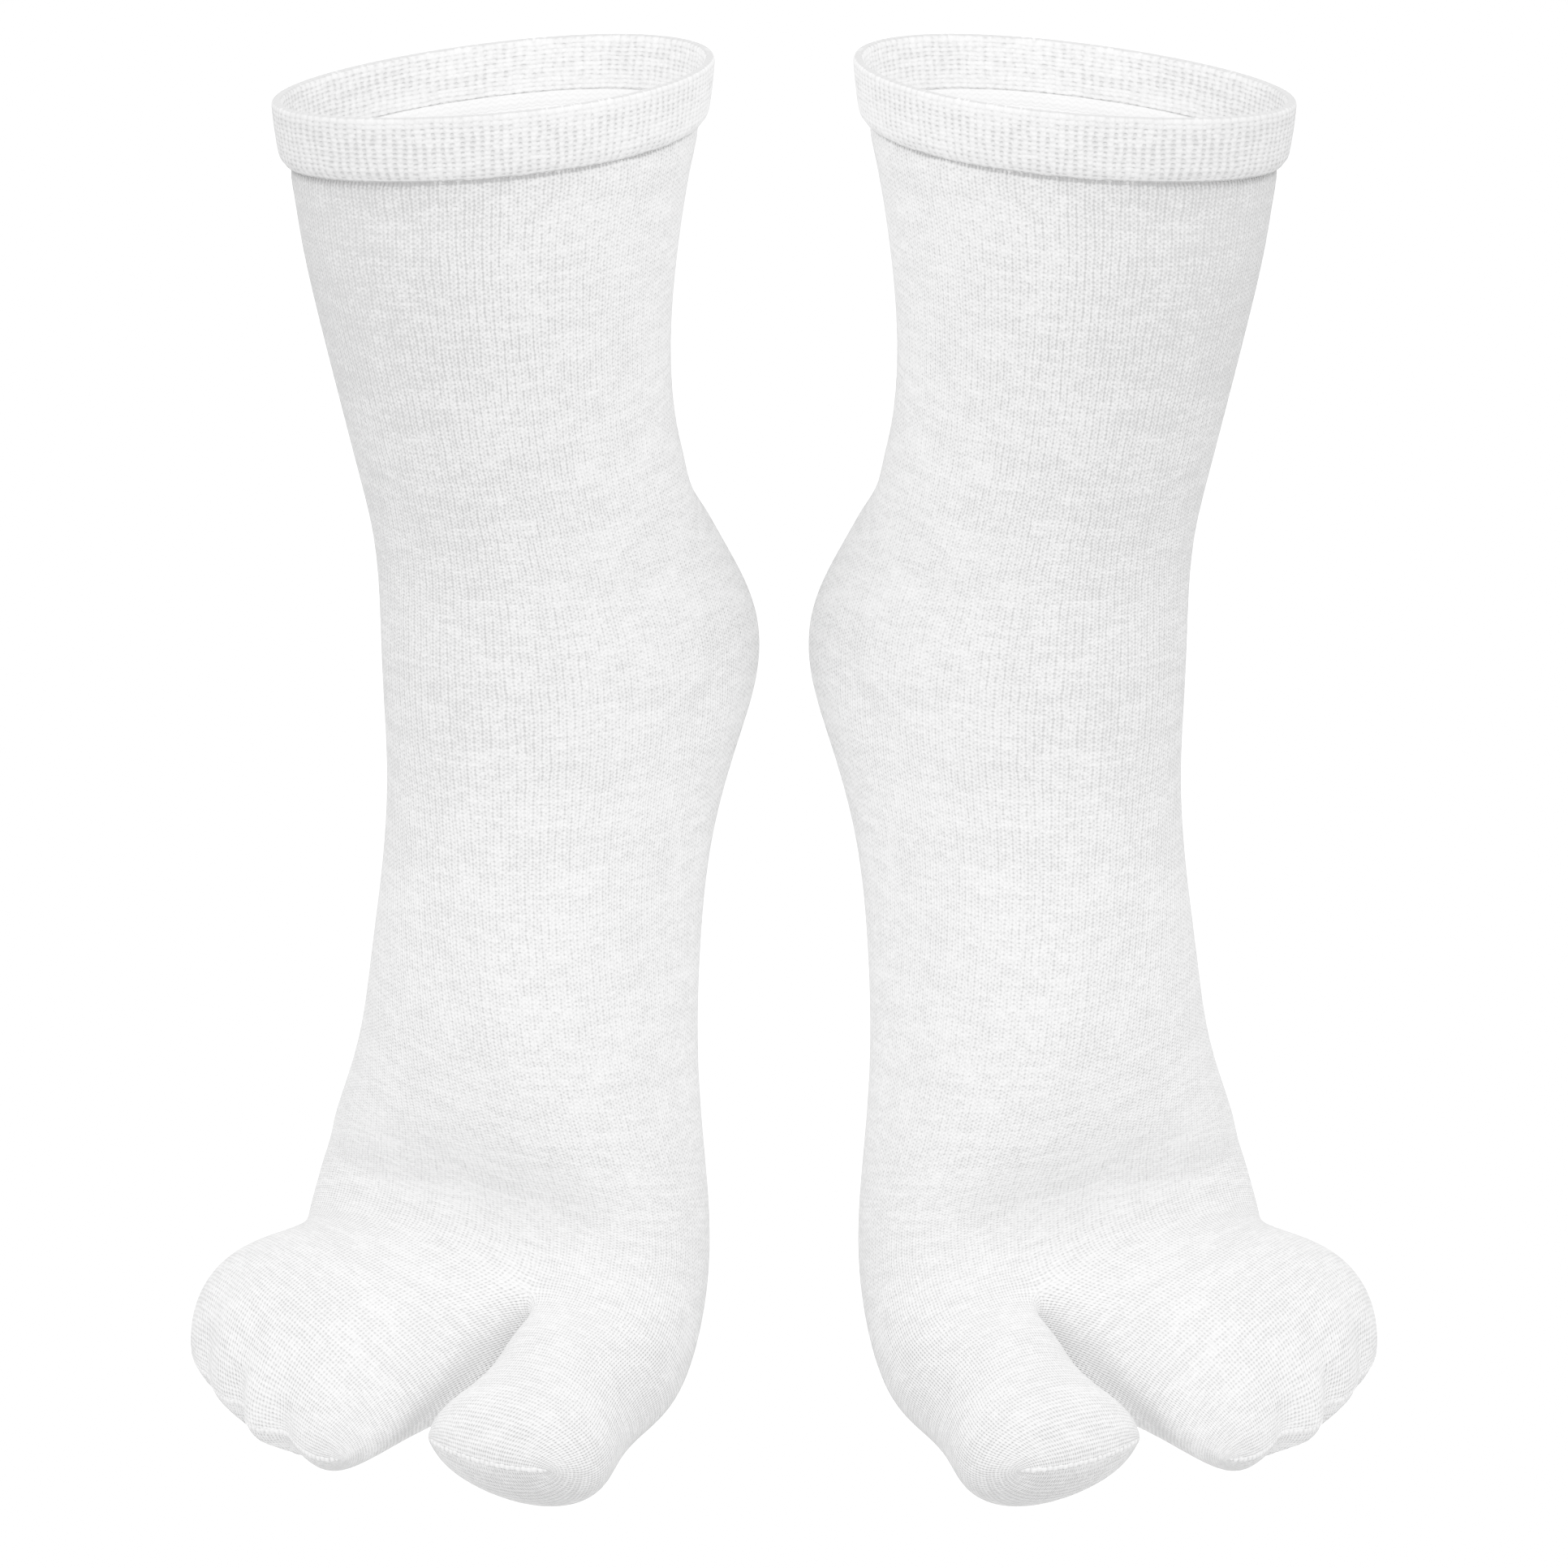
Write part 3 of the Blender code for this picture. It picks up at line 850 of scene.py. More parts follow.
class KnitGroups:
    """The shader node groups that the knit finishes share, each built once."""

    def __init__(
        self, wales_round: float, loops: LoopShape = LoopShape(), rib: RibShape = RibShape()
    ) -> None:
        """wales_round is how many wales go once round the leg."""
        self.wales_round = wales_round
        self.loop_shape = loops
        self.rib_shape = rib
        self.loops = self._loops()
        self.mock_rib = self._mock_rib()
        self.slubs = self._slubs()
        self.wander = self._wander()

    def facing(self, w: Wiring, wale: Socket, side: Side) -> Socket:
        """How nearly a wale lies on a side: a wave once round, to the side's power."""
        turns = w.times(w.minus(wale, side.wale), 1 / self.wales_round)
        return w.power(w.wave(turns), side.power)

    def noises(self, w: Wiring, given: dict[str, Socket], *patches: Patch) -> list[Socket]:
        """Noises over the knit.

        The wale becomes an angle round a circle as long as the wales round the leg, so that
        the noise meets itself, and the course is the height.

        Args:
            w: the wiring to add to.
            given: the inputs Wale and Course.
            patches: the size and kind of each noise.

        Returns:
            A socket of each noise.
        """
        angle = w.times(given["Wale"], 2 * math.pi / self.wales_round)
        cosine, sine = w.math("COSINE", angle), w.math("SINE", angle)
        found = []
        for patch in patches:
            radius = self.wales_round / (2 * math.pi * patch.wales)
            place = w.vector(
                w.times_plus(cosine, radius, patch.offset),
                w.times_plus(sine, radius, patch.offset),
                w.times_plus(given["Course"], 1 / patch.courses, patch.offset),
            )
            found.append(w.noise(place, 1.0, patch.detail, patch.rough))
        return found

    def _loops(self) -> bpy.types.NodeTree:
        """The face of plain knit.

        Between two wales runs a gap, at whole wales, and down the middle of every loop a
        fainter one: the cosine of two turns a wale, weakened away from whole wales. The
        holes lie in a brick pattern, where the product of the cosines of wale and course
        is 1. Where Square is 1 they lie in straight rows instead, two in every wale and one
        in every course. Lines and Holes say how dark each is. The legs of the loops stand
        up between the gaps, crossed by chevrons.
        """
        shape, inputs = self.loop_shape, {"Lines": 0.5, "Holes": 0.5, "Square": 0.0}
        tree, w, given, out = new_group("plain_knit_loops", inputs, ("Height", "Hollow"))
        wale, course = given["Wale"], given["Course"]
        cos_wale, cos_course = w.cosine(wale), w.cosine(course)
        brick = w.times_plus(w.times(cos_wale, cos_course), 0.5, 0.5)
        brick = w.power(brick, shape.brick_power)
        between = w.wave(w.times(wale, 2.0))
        square = w.times(between, w.times_plus(cos_course, 0.5, 0.5))
        square = w.power(square, shape.square_power)
        holes = w.times_plus(w.minus(square, brick), given["Square"], brick)
        weaker = w.times_plus(cos_wale, (1 - shape.middle) / 2, (1 + shape.middle) / 2)
        lines = w.times(w.power(between, shape.gap_power), weaker)
        hollow = w.times_plus(holes, given["Holes"], w.times(lines, given["Lines"]))
        legs = w.power(w.minus(1.0, between), shape.leg_power)
        chevrons = w.times_plus(w.chevrons(wale, course), shape.chevrons, 1 - shape.chevrons)
        w.feed(out["Height"], w.minus(w.times(legs, chevrons), w.times(hollow, shape.sunk)))
        w.feed(out["Hollow"], hollow)
        return tree

    def _mock_rib(self) -> bpy.types.NodeTree:
        """The mock rib of the welt: columns of short dashes, one to a wale and a course.

        A dash is where the waves of wale and course are both near 1. The band between two
        columns stands up and is crossed by chevrons.
        """
        shape = self.rib_shape
        tree, w, given, out = new_group("mock_rib", {}, ("Height", "Hollow"))
        wale, course = given["Wale"], given["Course"]
        column, row = w.wave(wale), w.wave(course)
        dashes = w.times(w.power(column, shape.across_power), w.power(row, shape.high_power))
        band = w.minus(1.0, w.power(column, shape.band_power))
        chevrons = w.times_plus(w.chevrons(wale, course), shape.chevrons, 1 - shape.chevrons)
        w.feed(out["Height"], w.minus(w.times(band, chevrons), w.times(dashes, shape.sunk)))
        groove = w.times(w.power(column, shape.groove_power), shape.groove)
        w.feed(out["Hollow"], w.times_plus(dashes, shape.dash, groove))
        return tree

    def _slubs(self) -> bpy.types.NodeTree:
        """Uneven yarn, as three masks from 0 to 1.

        Streaks along the courses and broader clouds make the tone, a little stronger in
        the toes. The grain differs from stitch to stitch, and the breaks along the gaps.
        """
        tree, w, given, out = new_group("slubs", {}, ("Tone", "Grain", "Breaks"))
        streaks, clouds, grain, breaks = self.noises(w, given, STREAKS, CLOUDS, GRAIN, BREAKS)
        mixed = w.times_plus(streaks, STREAKS_SHARE, w.times(clouds, 1 - STREAKS_SHARE))
        contrast = w.ramp(given["Course"], *TOE_CONTRAST)
        w.feed(out["Tone"], w.times_plus(w.minus(w.ramp(mixed, *PATCHY), 0.5), contrast, 0.5))
        w.feed(out["Grain"], w.ramp(grain, *GENTLE))
        w.feed(out["Breaks"], w.ramp(breaks, *PATCHY))
        return tree

    def _wander(self) -> bpy.types.NodeTree:
        """Stitches that don't lie quite straight: wale and course, each moved by a noise."""
        tree, w, given, out = new_group("wander", {"Amount": 0.2}, ("Wale", "Course"))
        noises = self.noises(w, given, WALE_WANDER, COURSE_WANDER)
        for key, noise in zip(("Wale", "Course"), noises):
            w.feed(out[key], w.times_plus(w.minus(noise, 0.5), given["Amount"], given[key]))
        return tree


@dataclass(frozen=True)
class YarnTones:
    """The colours of a knit, as linear grey values."""

    yarn: float = 0.96
    thin_yarn: float = 0.53  # where a slub is thin and shows grey
    hollow: float = 0.20  # painted shade in the gaps and holes between the loops


@dataclass(frozen=True)
class Knit:
    """What all the knits share: uneven white yarn, soft sheen, and loops in relief."""

    name: str
    tones: YarnTones = YarnTones()
    relief: float = 0.30 * MM  # how far a loop stands above a gap
    wander: float = 0.55  # of a stitch
    grain_share: float = 0.55  # how far the grain makes the yarn look thin
    tone_share: float = 0.5  # how far the streaks and clouds do
    thick_hollow: float = 0.10  # how much of a hollow shows beside thick yarn
    thin_hollow: float = 1.8  # how much more shows beside thin yarn
    fuzz: float = 0.35  # height of the fibres, of a loop's
    fuzz_scale: float = 2600.0  # fibres to a metre

    def pattern(
        self, w: Wiring, groups: KnitGroups, place: Stitch, moved: Stitch
    ) -> tuple[Socket, Socket]:
        """The height and the hollows of the stitches.

        Args:
            w: the material's wiring.
            groups: the shared node groups.
            place: wale and course.
            moved: wale and course of stitches that don't lie quite straight.

        Returns:
            Sockets of the height and of how hollow each place is, both from about 0 to 1.
        """
        raise NotImplementedError

    def shade(self, w: Wiring, groups: KnitGroups, place: Stitch) -> Value:
        """How much painted shade greys the knit at a place: none, unless a knit says so."""
        return 0.0

    def make(self, groups: KnitGroups) -> bpy.types.Material:
        """Builds the material from the shared node groups."""
        material, shader = new_material(self.name, COTTON)
        w = Wiring(material.node_tree)
        across, along, _ = w.parts(w.node("ShaderNodeUVMap", uv_map=STITCH_MAP).outputs[0])
        wale, course = w.times(across, MAP_STITCHES), w.times(along, MAP_STITCHES)
        slubs = w.group(groups.slubs, Wale=wale, Course=course).outputs
        moved = w.group(groups.wander, Wale=wale, Course=course, Amount=self.wander).outputs
        place = (wale, course)
        height, hollow = self.pattern(w, groups, place, (moved["Wale"], moved["Course"]))

        # Thin stretches of yarn are greyer and leave wider gaps, and every stitch differs.
        thin = w.times_plus(slubs["Grain"], self.grain_share, w.times(slubs["Tone"], self.tone_share))
        yarn = w.times_plus(thin, self.tones.thin_yarn - self.tones.yarn, self.tones.yarn)
        # Painted shade: the hollows between the loops, deeper beside thin yarn, and then each knit's
        # own painted shade on its sides.
        dark = w.times(hollow, w.times_plus(thin, self.thin_hollow, self.thick_hollow))
        dark = w.math("ADD", dark, self.shade(w, groups, place), clamp=True)
        value = w.times_plus(dark, w.minus(self.tones.hollow, yarn), yarn)
        grey = w.node("ShaderNodeCombineColor")
        for socket in grey.inputs:
            w.feed(socket, value)
        w.feed(shader.inputs["Base Color"], grey.outputs[0])

        fuzz = w.noise(w.object_place(), self.fuzz_scale, detail=2.0, rough=0.6)
        bump = w.node("ShaderNodeBump")
        w.feed(bump.inputs["Strength"], 1.0)
        w.feed(bump.inputs["Distance"], self.relief)
        w.feed(bump.inputs["Height"], w.times_plus(fuzz, self.fuzz, height))
        w.feed(shader.inputs["Normal"], bump.outputs[0])
        return material


@dataclass(frozen=True)
class PlainKnit(Knit):
    """The face of the leg and foot.

    In the leg the knit is stretched across, so that the gaps between the wales show as
    lines, most on the outer side. Towards the toes they give way to rows of holes.
    Each Fade below runs over courses, unless it says metres.
    """

    name: str = "white_plain_knit"
    # Painted shade along the inner edge of the ball, and on the pocket's side where it turns down
    # into the cleft.
    ball: Side = Side(-36.0, 7.0)
    cleft: Side = Side(84.0, 120.0)  # painted shade on the pocket's side by the cleft, traced back by its slant
    cleft_slant: float = 0.3  # wales by which that side leaves its wale in a course
    leg: Fade = Fade(60.0, 290.0, 1.0, 0.0)
    toes: Fade = Fade(262.0, 300.0, 0.0, 1.0)
    lines: Depth = Depth(0.34, 0.34, -0.20)
    pale_line: float = 0.6  # how dark a line is where it is palest
    line_breaks: float = 0.7  # how much darker it gets in lengths
    holes: Depth = Depth(0.70, -0.10, 0.50)
    groove: Fade = Fade(2.7, 3.5, 1.0, 0.0)  # the dark rows along the welt's lower edge: the first rows of stitches, with painted shade of the groove under the welt
    groove_dark: float = 0.55
    groove_bars: float = 0.5  # how much darker it is between the loops
    # Painted shade by course: down the outer side of the leg, partly for its thinner stretched yarn,
    # along the ball and on the pocket beside the cleft.
    upper_shade: Fade = Fade(20.0, 75.0, 0.68, 0.42)
    lower_shade: Fade = Fade(105.0, 225.0, 1.0, 0.0)
    ball_shade: Fade = Fade(215.0, 275.0, 0.0, 0.5)
    pocket_start: Fade = Fade(290.0, 304.0, 0.0, 1.0)
    pocket_end: Fade = Fade(330.0, 348.0, 1.0, 0.0)
    pocket_shade: Fade = Fade(0.060, 0.068, 0.0, 0.85)  # metres from the middle of the pair

    def pattern(
        self, w: Wiring, groups: KnitGroups, place: Stitch, moved: Stitch
    ) -> tuple[Socket, Socket]:
        """The stitches: strong lines at the top of the leg, open holes at the toes."""
        wale, course = place
        side = groups.facing(w, wale, OUTER_HALF)
        leg, toes = w.ramp(course, *self.leg), w.ramp(course, *self.toes)
        lines = w.times_plus(w.times(side, leg), self.lines.leg, self.lines.everywhere)
        lines = w.times_plus(toes, self.lines.toes, lines)
        breaks = w.group(groups.slubs, Wale=wale, Course=course).outputs["Breaks"]
        lines = w.times(lines, w.times_plus(breaks, self.line_breaks, self.pale_line))
        holes = w.times_plus(leg, self.holes.leg, self.holes.everywhere)
        holes = w.times_plus(toes, self.holes.toes, holes)
        stitch = {"Wale": moved[0], "Course": moved[1]}
        knit = w.group(groups.loops, Lines=lines, Holes=holes, Square=toes, **stitch).outputs
        # Painted shade of the groove under the welt, in bars that are darker between the loops.
        bars = w.wave(w.times(moved[0], 2.0))
        groove = w.times_plus(bars, self.groove_bars, self.groove_dark)
        groove = w.times(groove, w.ramp(course, *self.groove))
        return knit["Height"], w.math("MAXIMUM", knit["Hollow"], groove)

    def shade(self, w: Wiring, groups: KnitGroups, place: Stitch) -> Value:
        """Painted shade: greyer down the outer side of the leg, partly for the thinner stretched yarn
        there, along the inner edge of the ball and on the pocket's side beside the cleft.
        """
        wale, course = place
        leg = w.times(w.ramp(course, *self.upper_shade), w.ramp(course, *self.lower_shade))
        ball = w.times(groups.facing(w, wale, self.ball), w.ramp(course, *self.ball_shade))
        grey = w.times_plus(groups.facing(w, wale, OUTER), leg, ball)
        cleft = groups.facing(w, w.times_plus(course, self.cleft_slant, wale), self.cleft)
        sideways = w.math("ABSOLUTE", w.parts(w.object_place())[0])
        pocket = w.times(w.ramp(course, *self.pocket_start), w.ramp(course, *self.pocket_end))
        pocket = w.times(pocket, w.ramp(sideways, *self.pocket_shade))
        return w.times_plus(cleft, pocket, grey)


@dataclass(frozen=True)
class MockRib(Knit):
    """The welt's knit, with rows of painted shade at its lower edge and along its fold."""

    name: str = "white_mock_rib"
    wander: float = 0.8
    gape: float = 0.25  # how open every dash is
    gape_outer: float = 0.6  # how much more on the outer side
    gape_uneven: float = 0.9  # how much more where the yarn is thin
    fold: float = 13.4  # the course at the top of the fold
    band_below: float = 5.0  # courses from the fold down to the band where the dashes gape most
    band: Fade = Fade(0.5, 3.5, 1.35, 0.85)  # by courses from there
    near_below: float = 0.8  # courses from the fold down to where they close up
    near: Fade = Fade(0.4, 2.2, 0.35, 1.0)  # by courses from there
    end: Fade = Fade(20.5, 24.0, 1.0, 0.15)  # by course: how they close up inside
    inside: Fade = Fade(0.6, 1.4, 0.04, 0.24)  # by courses past the fold: how dark the inside is
    # Painted shade on the outer side.
    outer_shade: float = 0.5
    # Each row of painted shade, at the lower edge and along the fold, is a course, half the row's
    # height in courses, and how dark it is.
    painted_shade_rows: tuple[tuple[float, float, float], ...] = ((0.0, 0.5, 0.6), (13.4, 0.55, 1.8))

    def pattern(
        self, w: Wiring, groups: KnitGroups, place: Stitch, moved: Stitch
    ) -> tuple[Socket, Socket]:
        """Columns of dashes in paler and darker patches, and the rows of painted shade.

        The dashes gape most in a band below the fold, and close up towards the fold and
        towards the end of the inner layer.
        """
        wale, course = place
        knit = w.group(groups.mock_rib, Wale=moved[0], Course=moved[1]).outputs
        tone = w.group(groups.slubs, Wale=wale, Course=course).outputs["Tone"]
        gape = w.times_plus(tone, self.gape_uneven, self.gape)
        gape = w.times_plus(groups.facing(w, wale, OUTER_HALF), self.gape_outer, gape)
        below = w.minus(self.fold, course)
        band = w.ramp(w.apart(below, self.band_below), *self.band)
        near = w.ramp(w.apart(below, self.near_below), *self.near)
        gape = w.times(w.times(gape, band), w.times(near, w.ramp(course, *self.end)))
        inside = w.ramp(w.minus(course, self.fold), *self.inside)
        hollow = w.plus(w.times(knit["Hollow"], gape), inside)
        for row, half, depth in self.painted_shade_rows:
            dark = w.ramp(w.apart(course, row), 0.5 * half, half, depth, 0.0)
            hollow = w.math("MAXIMUM", hollow, dark)
        return knit["Height"], hollow

    def shade(self, w: Wiring, groups: KnitGroups, place: Stitch) -> Value:
        """Painted shade: greyer on the outer side."""
        return w.times(groups.facing(w, place[0], OUTER), self.outer_shade)


@dataclass(frozen=True)
class Purl(Knit):
    """The inside of the leg and foot, where the heads of the loops lie across in rows."""

    name: str = "white_purl_side"
    tones: YarnTones = YarnTones(yarn=0.93, thin_yarn=0.80, hollow=0.30)
    arch: float = 0.3  # its height, of a loop's
    between: float = 0.12  # how hollow the rows are between the arches

    def pattern(
        self, w: Wiring, groups: KnitGroups, place: Stitch, moved: Stitch
    ) -> tuple[Socket, Socket]:
        """Rows of low arches."""
        rows = w.chevrons(*moved)
        return w.times(rows, self.arch), w.times(w.minus(1.0, rows), self.between)


@dataclass(frozen=True)
class ChainStitch(Knit):
    """The linked seams: a chain of loops lying on the knit."""

    name: str = "white_chain_stitch"
    tones: YarnTones = YarnTones(yarn=0.86, thin_yarn=0.66, hollow=0.15)
    wander: float = 0.2
    between: float = 0.7  # how hollow it is between two loops
    between_power: float = 3.0

    def pattern(
        self, w: Wiring, groups: KnitGroups, place: Stitch, moved: Stitch
    ) -> tuple[Socket, Socket]:
        """A hollow between every two loops of the chain."""
        loop = w.wave(moved[1])
        return w.minus(1.0, loop), w.times(w.power(loop, self.between_power), self.between)


# ---------------------------------------------------------------------------
# Pieces
# ---------------------------------------------------------------------------


def add_piece(
    name: str, mesh: bpy.types.Mesh, materials: list[bpy.types.Material]
) -> bpy.types.Object:
    """Puts a mesh into the scene as a piece of the object, at the origin and unturned."""
    for material in materials:
        mesh.materials.append(material)
    piece = bpy.data.objects.new(name, mesh)
    bpy.context.scene.collection.objects.link(piece)
    return piece


def add_wall(piece: bpy.types.Object, thickness: float, offset: float, inside: int = 0) -> None:
    """Gives an open surface its thickness.

    Args:
        piece: the piece.
        thickness: in metres.
        offset: -1 puts it all inside the surface, 0 half on each side.
        inside: how many material slots later the inner face's material is.
    """
    wall = piece.modifiers.new("cloth", "SOLIDIFY")
    wall.thickness = thickness
    wall.offset = offset
    wall.use_even_offset = False
    wall.use_rim = True
    wall.material_offset = inside
    wall.material_offset_rim = 0


@dataclass
class KnittedSock:
    """The leg, heel, foot and toes of one sock."""

    foot: Foot
    form: Surface  # the outer face of the right sock, at its place
    face: bpy.types.Material
    inside: bpy.types.Material
    thickness: float = 1.2 * MM
    relaxed_width: float = 0.215  # once round the tube, off the foot
    relaxed_length: float = 0.430
    relaxed_area: float = 0.082

    def build(self, seams: list[bpy.types.Object]) -> bpy.types.Object:
        """Makes the piece and returns it."""
        name = f"{self.foot.word}_plain_knit"
        piece = add_piece(name, self.form.on(self.foot).mesh(name), [self.face, self.inside])
        add_wall(piece, self.thickness, offset=-1, inside=1)
        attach(piece, "root")
        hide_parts(f"{self.foot.word}_sock")
        return piece


@dataclass
class TurnedWelt:
    """The band at the top of a leg: one strip, folded in double over the top edge."""

    foot: Foot
    sock: SockForm
    finish: bpy.types.Material
    layer: float = 1.05 * MM  # thickness of one layer of cloth
    apart: float = 1.4 * MM  # between the middles of the two layers
    tuck: float = 0.9 * MM  # how far the outside's lower edge turns in towards the leg
    rib_depth: float = 0.14 * MM
    points_to_a_wale: int = 4
    course: float = 1.14 * MM
    inner_short: float = 1.4 * MM  # how far the inner layer ends above the outer one
    bulge: float = 0.25 * MM  # how far the outside swells between fold and edge
    tuck_height: float = 1.1 * MM  # height over which the lower edge turns in
    rib_fade: float = 0.12  # share of the height over which the ribs fade out
    rows: tuple[int, int, int] = (20, 7, 18)  # rings up the outside, over the top, down inside
    relaxed_round: float = 0.235
    relaxed_high: float = 0.031

    def profile(self) -> tuple[np.ndarray, np.ndarray]:
        """The strip's middle line in cross-section: (outward, share down from rim to base).

        It runs up the outside from the base, over the top on a half circle as wide as the
        layers lie apart, and down the inside. The outside bulges by a sine to a power, and
        its lower edge turns in by a bell.
        """
        high = (WELT_BASE.drop - RIM.drop) * MM
        half = self.apart / 2
        rows_up, rows_over, rows_down = self.rows
        up = np.linspace(1, 0, rows_up)
        bulge = self.bulge * np.sin(np.pi * up) ** 0.7
        turned_in = self.tuck * np.exp(-(((1 - up) * high / self.tuck_height) ** 2))
        turn = np.linspace(0, np.pi, rows_over + 2)[1:-1]
        down = np.linspace(0, 1 - self.inner_short / high, rows_down)
        outward = [half + bulge - turned_in, half * np.cos(turn), np.full(rows_down, -half)]
        return np.concatenate(outward), np.concatenate([up, -half * np.sin(turn) / high, down])

    def surface(self) -> Surface:
        """The strip: its profile carried round the rings from rim to base.

        A point is the ring of its share between the two sections, moved outwards along
        the ring's own normal in its plane. The ribs add a cosine of the wale, and fade out
        towards the lower edges.
        """
        outward, share = self.profile()
        columns = round(self.sock.segments * self.sock.wales_per_segment * self.points_to_a_wale)
        rim, base = (self._ring(section, columns) for section in (RIM, WELT_BASE))
        rings = rim + (base - rim) * share[:, None, None]
        tangent = np.roll(rings, -1, axis=1) - np.roll(rings, 1, axis=1)
        normal = np.cross(tangent, (0.0, 0.0, 1.0))
        normal /= np.linalg.norm(normal, axis=2, keepdims=True)
        if (normal[0, 0] * (rings[0, 0] - rings[0].mean(axis=0))).sum() < 0:
            normal = -normal
        wales = np.arange(columns + 1) / self.points_to_a_wale
        ribs = -self.rib_depth / 2 * np.cos(2 * np.pi * wales[:-1])
        strength = np.clip((share.max() - share) / self.rib_fade, 0, 1) * np.sign(outward)
        away = outward[:, None] + strength[:, None] * ribs
        points = rings + normal * away[:, :, None]
        return Surface.of_rings(points, wales, run_along(points[:, 0]) / self.course, turned=True)

    def _ring(self, section: Section, columns: int) -> np.ndarray:
        """A section's ring with that many points, drawn directly and not as a net."""
        lateral = columns * self.sock.lateral_segments // self.sock.segments
        fine = replace(self.sock, lateral_segments=lateral, medial_segments=columns - lateral)
        return fine.ring(section, fine.foot_cleft, fine.lateral_segments, fine.medial_segments)

    def build(self) -> bpy.types.Object:
        """Makes the piece and returns it."""
        name = f"{self.foot.word}_turned_welt"
        surface = self.sock.placed(self.surface()).on(self.foot)
        piece = add_piece(name, surface.mesh(name), [self.finish])
        add_wall(piece, self.layer, offset=0)
        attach(piece, "root")
        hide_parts(f"{self.foot.word}_welt")
        return piece


@dataclass
class LinkedSeam:
    """The row of chain stitches that shuts a toe, raised a little above the knit."""

    name: str
    path: np.ndarray  # (n, 3), the seam line in order, at its place
    outward: np.ndarray  # (n, 3), the knit's normal along it
    finish: bpy.types.Material
    width: float = 1.3 * MM
    high: float = 0.6 * MM
    sunk: float = 0.12 * MM  # how far its middle lies below the knit's face
    pitch: float = 1.4 * MM  # of one chain stitch
    swelling: float = 0.2  # share of its size that comes and goes with every stitch
    sway: float = 0.1 * MM  # how far it leans to both sides in turn
    end_stitches: float = 2.0  # over which it shrinks to a point at each end
    wales: float = 2.0  # of the stitch map, once round it
    steps: int = 8  # rings to a stitch
    sides: int = 12

    def surface(self) -> Surface:
        """A flat tube along the path that swells once a stitch.

        The section is an ellipse. Its size is scaled by 1 less the swelling, plus the
        swelling times the sine's size over each stitch, it sways to both sides by the same
        sine, and it shrinks by a square root to a point at both ends.
        """
        run = run_along(self.path)
        at = np.linspace(0, run[-1], int(run[-1] / self.pitch * self.steps))
        centre, lift = (
            np.stack([np.interp(at, run, line[:, k]) for k in range(3)], axis=1)
            for line in (self.path, self.outward)
        )
        along = np.gradient(centre, axis=0)
        along /= np.linalg.norm(along, axis=1, keepdims=True)
        lift -= along * (lift * along).sum(axis=1, keepdims=True)
        lift /= np.linalg.norm(lift, axis=1, keepdims=True)
        aside = np.cross(along, lift)
        centre = centre - lift * self.sunk

        sine = np.sin(np.pi * at / self.pitch)
        ends = np.minimum(at, run[-1] - at) / (self.end_stitches * self.pitch)
        size = (1 - self.swelling + self.swelling * np.abs(sine)) * np.sqrt(np.clip(ends, 0, 1))
        angle = np.linspace(0, 2 * np.pi, self.sides, endpoint=False)
        wide = (0.5 * self.width * np.cos(angle) + self.sway * sine[:, None]) * size[:, None]
        high = 0.5 * self.high * np.sin(angle) * size[:, None]
        points = centre[:, None] + aside[:, None] * wide[..., None] + lift[:, None] * high[..., None]
        wales = np.arange(self.sides + 1) / self.sides * self.wales
        return Surface.of_rings(points, wales, at / self.pitch)

    def build(self) -> bpy.types.Object:
        """Makes the piece and returns it. The points at each end are welded into one."""
        piece = add_piece(self.name, self.surface().mesh(self.name), [self.finish])
        weld = piece.modifiers.new("ends", "WELD")
        weld.merge_threshold = 0.01 * MM
        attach(piece, "root")
        return piece


# ---------------------------------------------------------------------------
# Studio
# ---------------------------------------------------------------------------


@dataclass(frozen=True)
class Softbox:
    """A rectangular area light, in metres and watts."""

    name: str
    at: Triple
    aim: Triple
    size: tuple[float, float]
    power: float
    spread: float = 180.0  # degrees


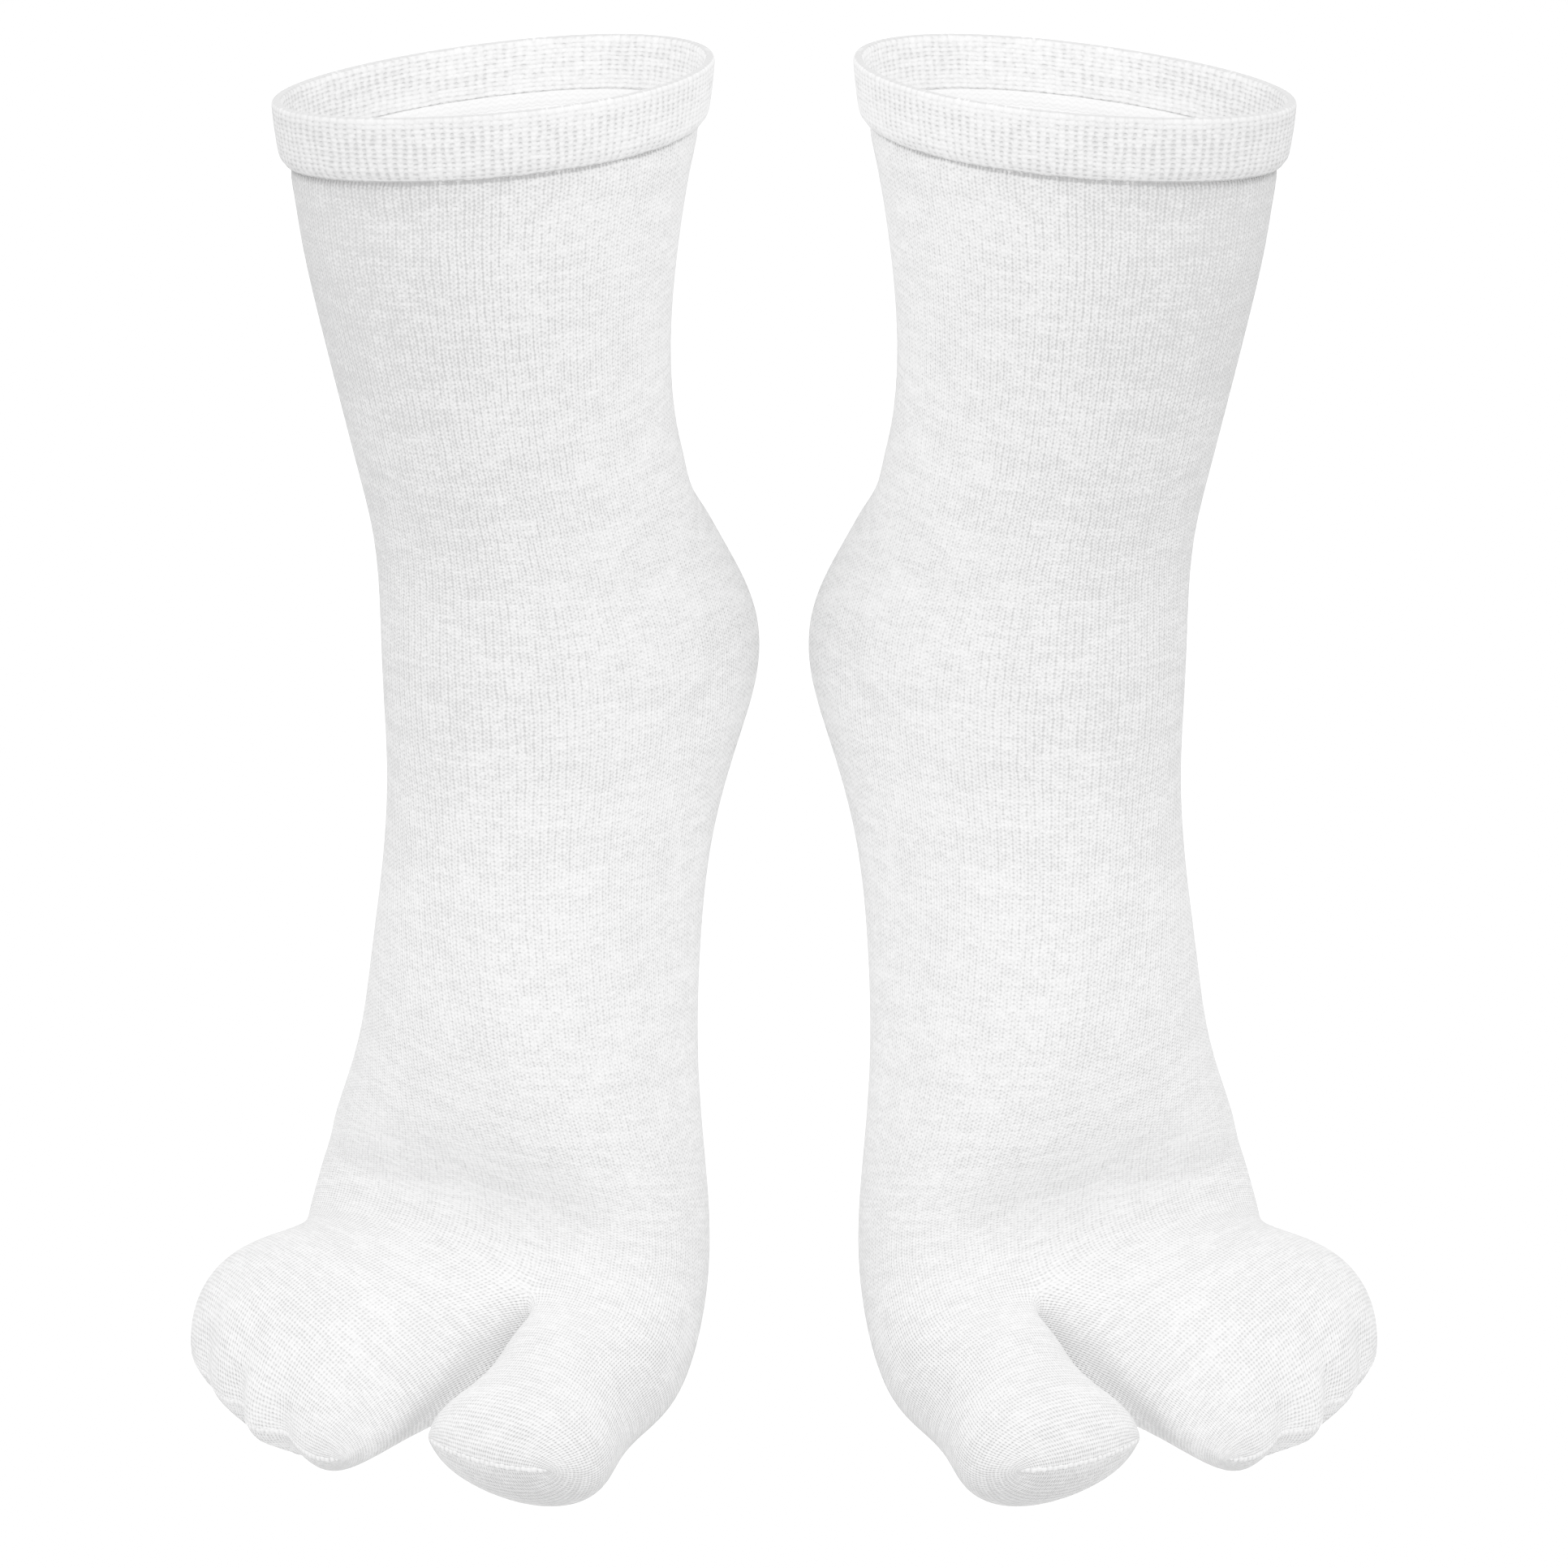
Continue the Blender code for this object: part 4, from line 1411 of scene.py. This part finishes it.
@dataclass
class Studio:
    """A pale floor, soft light and the camera."""

    floor_height: float
    floor_size: float = 12.0
    floor_grey: float = 0.45
    sky: float = 0.15
    camera_at: Triple = (0.0, -1.40, 0.247)
    camera_aim: Triple = (0.0, 0.0, -0.178)
    lens: float = 138.39
    sensor: float = 36.0
    softboxes: tuple[Softbox, ...] = (
        Softbox("top_light", (0.0, -1.3, 1.65), (0.0, 0.0, -0.2), (0.8, 1.0), 290.0),
        Softbox("left_light", (-1.3, -0.8, 1.9), (0.0, 0.0, -0.17), (0.9, 1.2), 515.0),
        Softbox("right_light", (1.3, -0.8, 1.9), (0.0, 0.0, -0.17), (0.9, 1.2), 515.0),
        Softbox("front_fill", (0.0, -2.4, 0.5), (0.0, 0.0, -0.17), (1.8, 1.4), 275.0),
        Softbox("background", (0.0, 3.4, 0.0), (0.0, 3.4, -0.9), (1.8, 5.0), 2600.0, 60.0),
    )

    def build(self) -> None:
        """Makes the floor, the lights and the camera."""
        self._floor()
        for softbox in self.softboxes:
            self._light(softbox)
        world = bpy.data.worlds.new("soft_sky")
        world.use_nodes = True
        background = world.node_tree.nodes["Background"]
        background.inputs["Color"].default_value = (1.0, 1.0, 1.0, 1.0)
        background.inputs["Strength"].default_value = self.sky
        bpy.context.scene.world = world
        camera = bpy.data.objects.new("camera", bpy.data.cameras.new("camera"))
        camera.data.lens = self.lens
        camera.data.sensor_width = self.sensor
        self._aim(camera, self.camera_at, self.camera_aim)
        bpy.context.scene.camera = camera

    def _aim(self, thing: bpy.types.Object, at: Triple, aim: Triple) -> None:
        """Links a camera or light into the scene, at a place and looking at another."""
        bpy.context.scene.collection.objects.link(thing)
        thing.location = at
        thing.rotation_euler = (Vector(aim) - Vector(at)).to_track_quat("-Z", "Y").to_euler()

    def _floor(self) -> None:
        """One large square of smooth, matt, nearly white board."""
        half = self.floor_size / 2
        mesh = bpy.data.meshes.new("studio_floor")
        corners = [(-half, -half), (half, -half), (half, half), (-half, half)]
        mesh.from_pydata([(x, y, self.floor_height) for x, y in corners], [], [(0, 1, 2, 3)])
        grey = (self.floor_grey, self.floor_grey, self.floor_grey, 1.0)
        board, _ = new_material("pale_board", {"Base Color": grey, **BOARD})
        mesh.materials.append(board)
        floor = bpy.data.objects.new("studio_floor", mesh)
        bpy.context.scene.collection.objects.link(floor)
        floor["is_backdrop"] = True

    def _light(self, softbox: Softbox) -> None:
        """Adds one softbox."""
        data = bpy.data.lights.new(softbox.name, "AREA")
        data.shape = "RECTANGLE"
        data.size, data.size_y = softbox.size
        data.energy = softbox.power
        data.spread = math.radians(softbox.spread)
        self._aim(bpy.data.objects.new(softbox.name, data), softbox.at, softbox.aim)


def linked_seams(surface: Surface, foot: Foot, finish: bpy.types.Material) -> list[LinkedSeam]:
    """The two linked seams of a sock, across the big toe and across the toe pocket.

    Their points have the value "seam" 1. Sorted across, the pocket's lie well to the outer
    side of the big toe's, so the widest gap between them parts the two.

    Args:
        surface: the right sock's outer face, at its place.
        foot: the foot that the seams are for.
        finish: their material.

    Returns:
        The pocket's seam and the big toe's.
    """
    normals = surface.normals()
    on_seam = np.flatnonzero(surface.values["seam"] > 1 - NEARLY)
    on_seam = on_seam[np.argsort(surface.points[on_seam, 0])]
    gap = np.diff(surface.points[on_seam, 0]).argmax() + 1
    mirror = (-foot.value, 1, 1)
    seams = []
    for word, part in (("pocket", on_seam[:gap]), ("big_toe", on_seam[gap:])):
        path, outward = surface.points[part] * mirror, normals[part] * mirror
        seams.append(LinkedSeam(f"{foot.word}_{word}_seam", path, outward, finish))
    return seams


def plain_list(corners: tuple) -> list[list[float]]:
    """Two corners as lists of numbers."""
    return [[float(value) for value in corner] for corner in corners]


def main() -> None:
    logging.basicConfig(level=logging.INFO, format="%(name)s: %(message)s")
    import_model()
    solid_box = plain_list(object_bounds())

    form = SockForm()
    shaped = form.placed(form.creased(form.smooth()))
    groups = KnitGroups(form.segments * form.wales_per_segment)
    knits = (PlainKnit(), Purl(), ChainStitch(), MockRib())
    plain, purl, chain, rib = (knit.make(groups) for knit in knits)
    for foot in Foot:
        seams = [seam.build() for seam in linked_seams(shaped, foot, chain)]
        sock = KnittedSock(foot, shaped, plain, purl).build(seams)
        for piece in (sock, TurnedWelt(foot, form, rib).build(), *seams):
            LOG.info("%s: %d faces", piece.name, len(piece.data.polygons))

    Studio(floor_height=solid_box[0][2] - FLOOR_GAP).build()


if __name__ == "__main__":
    main()
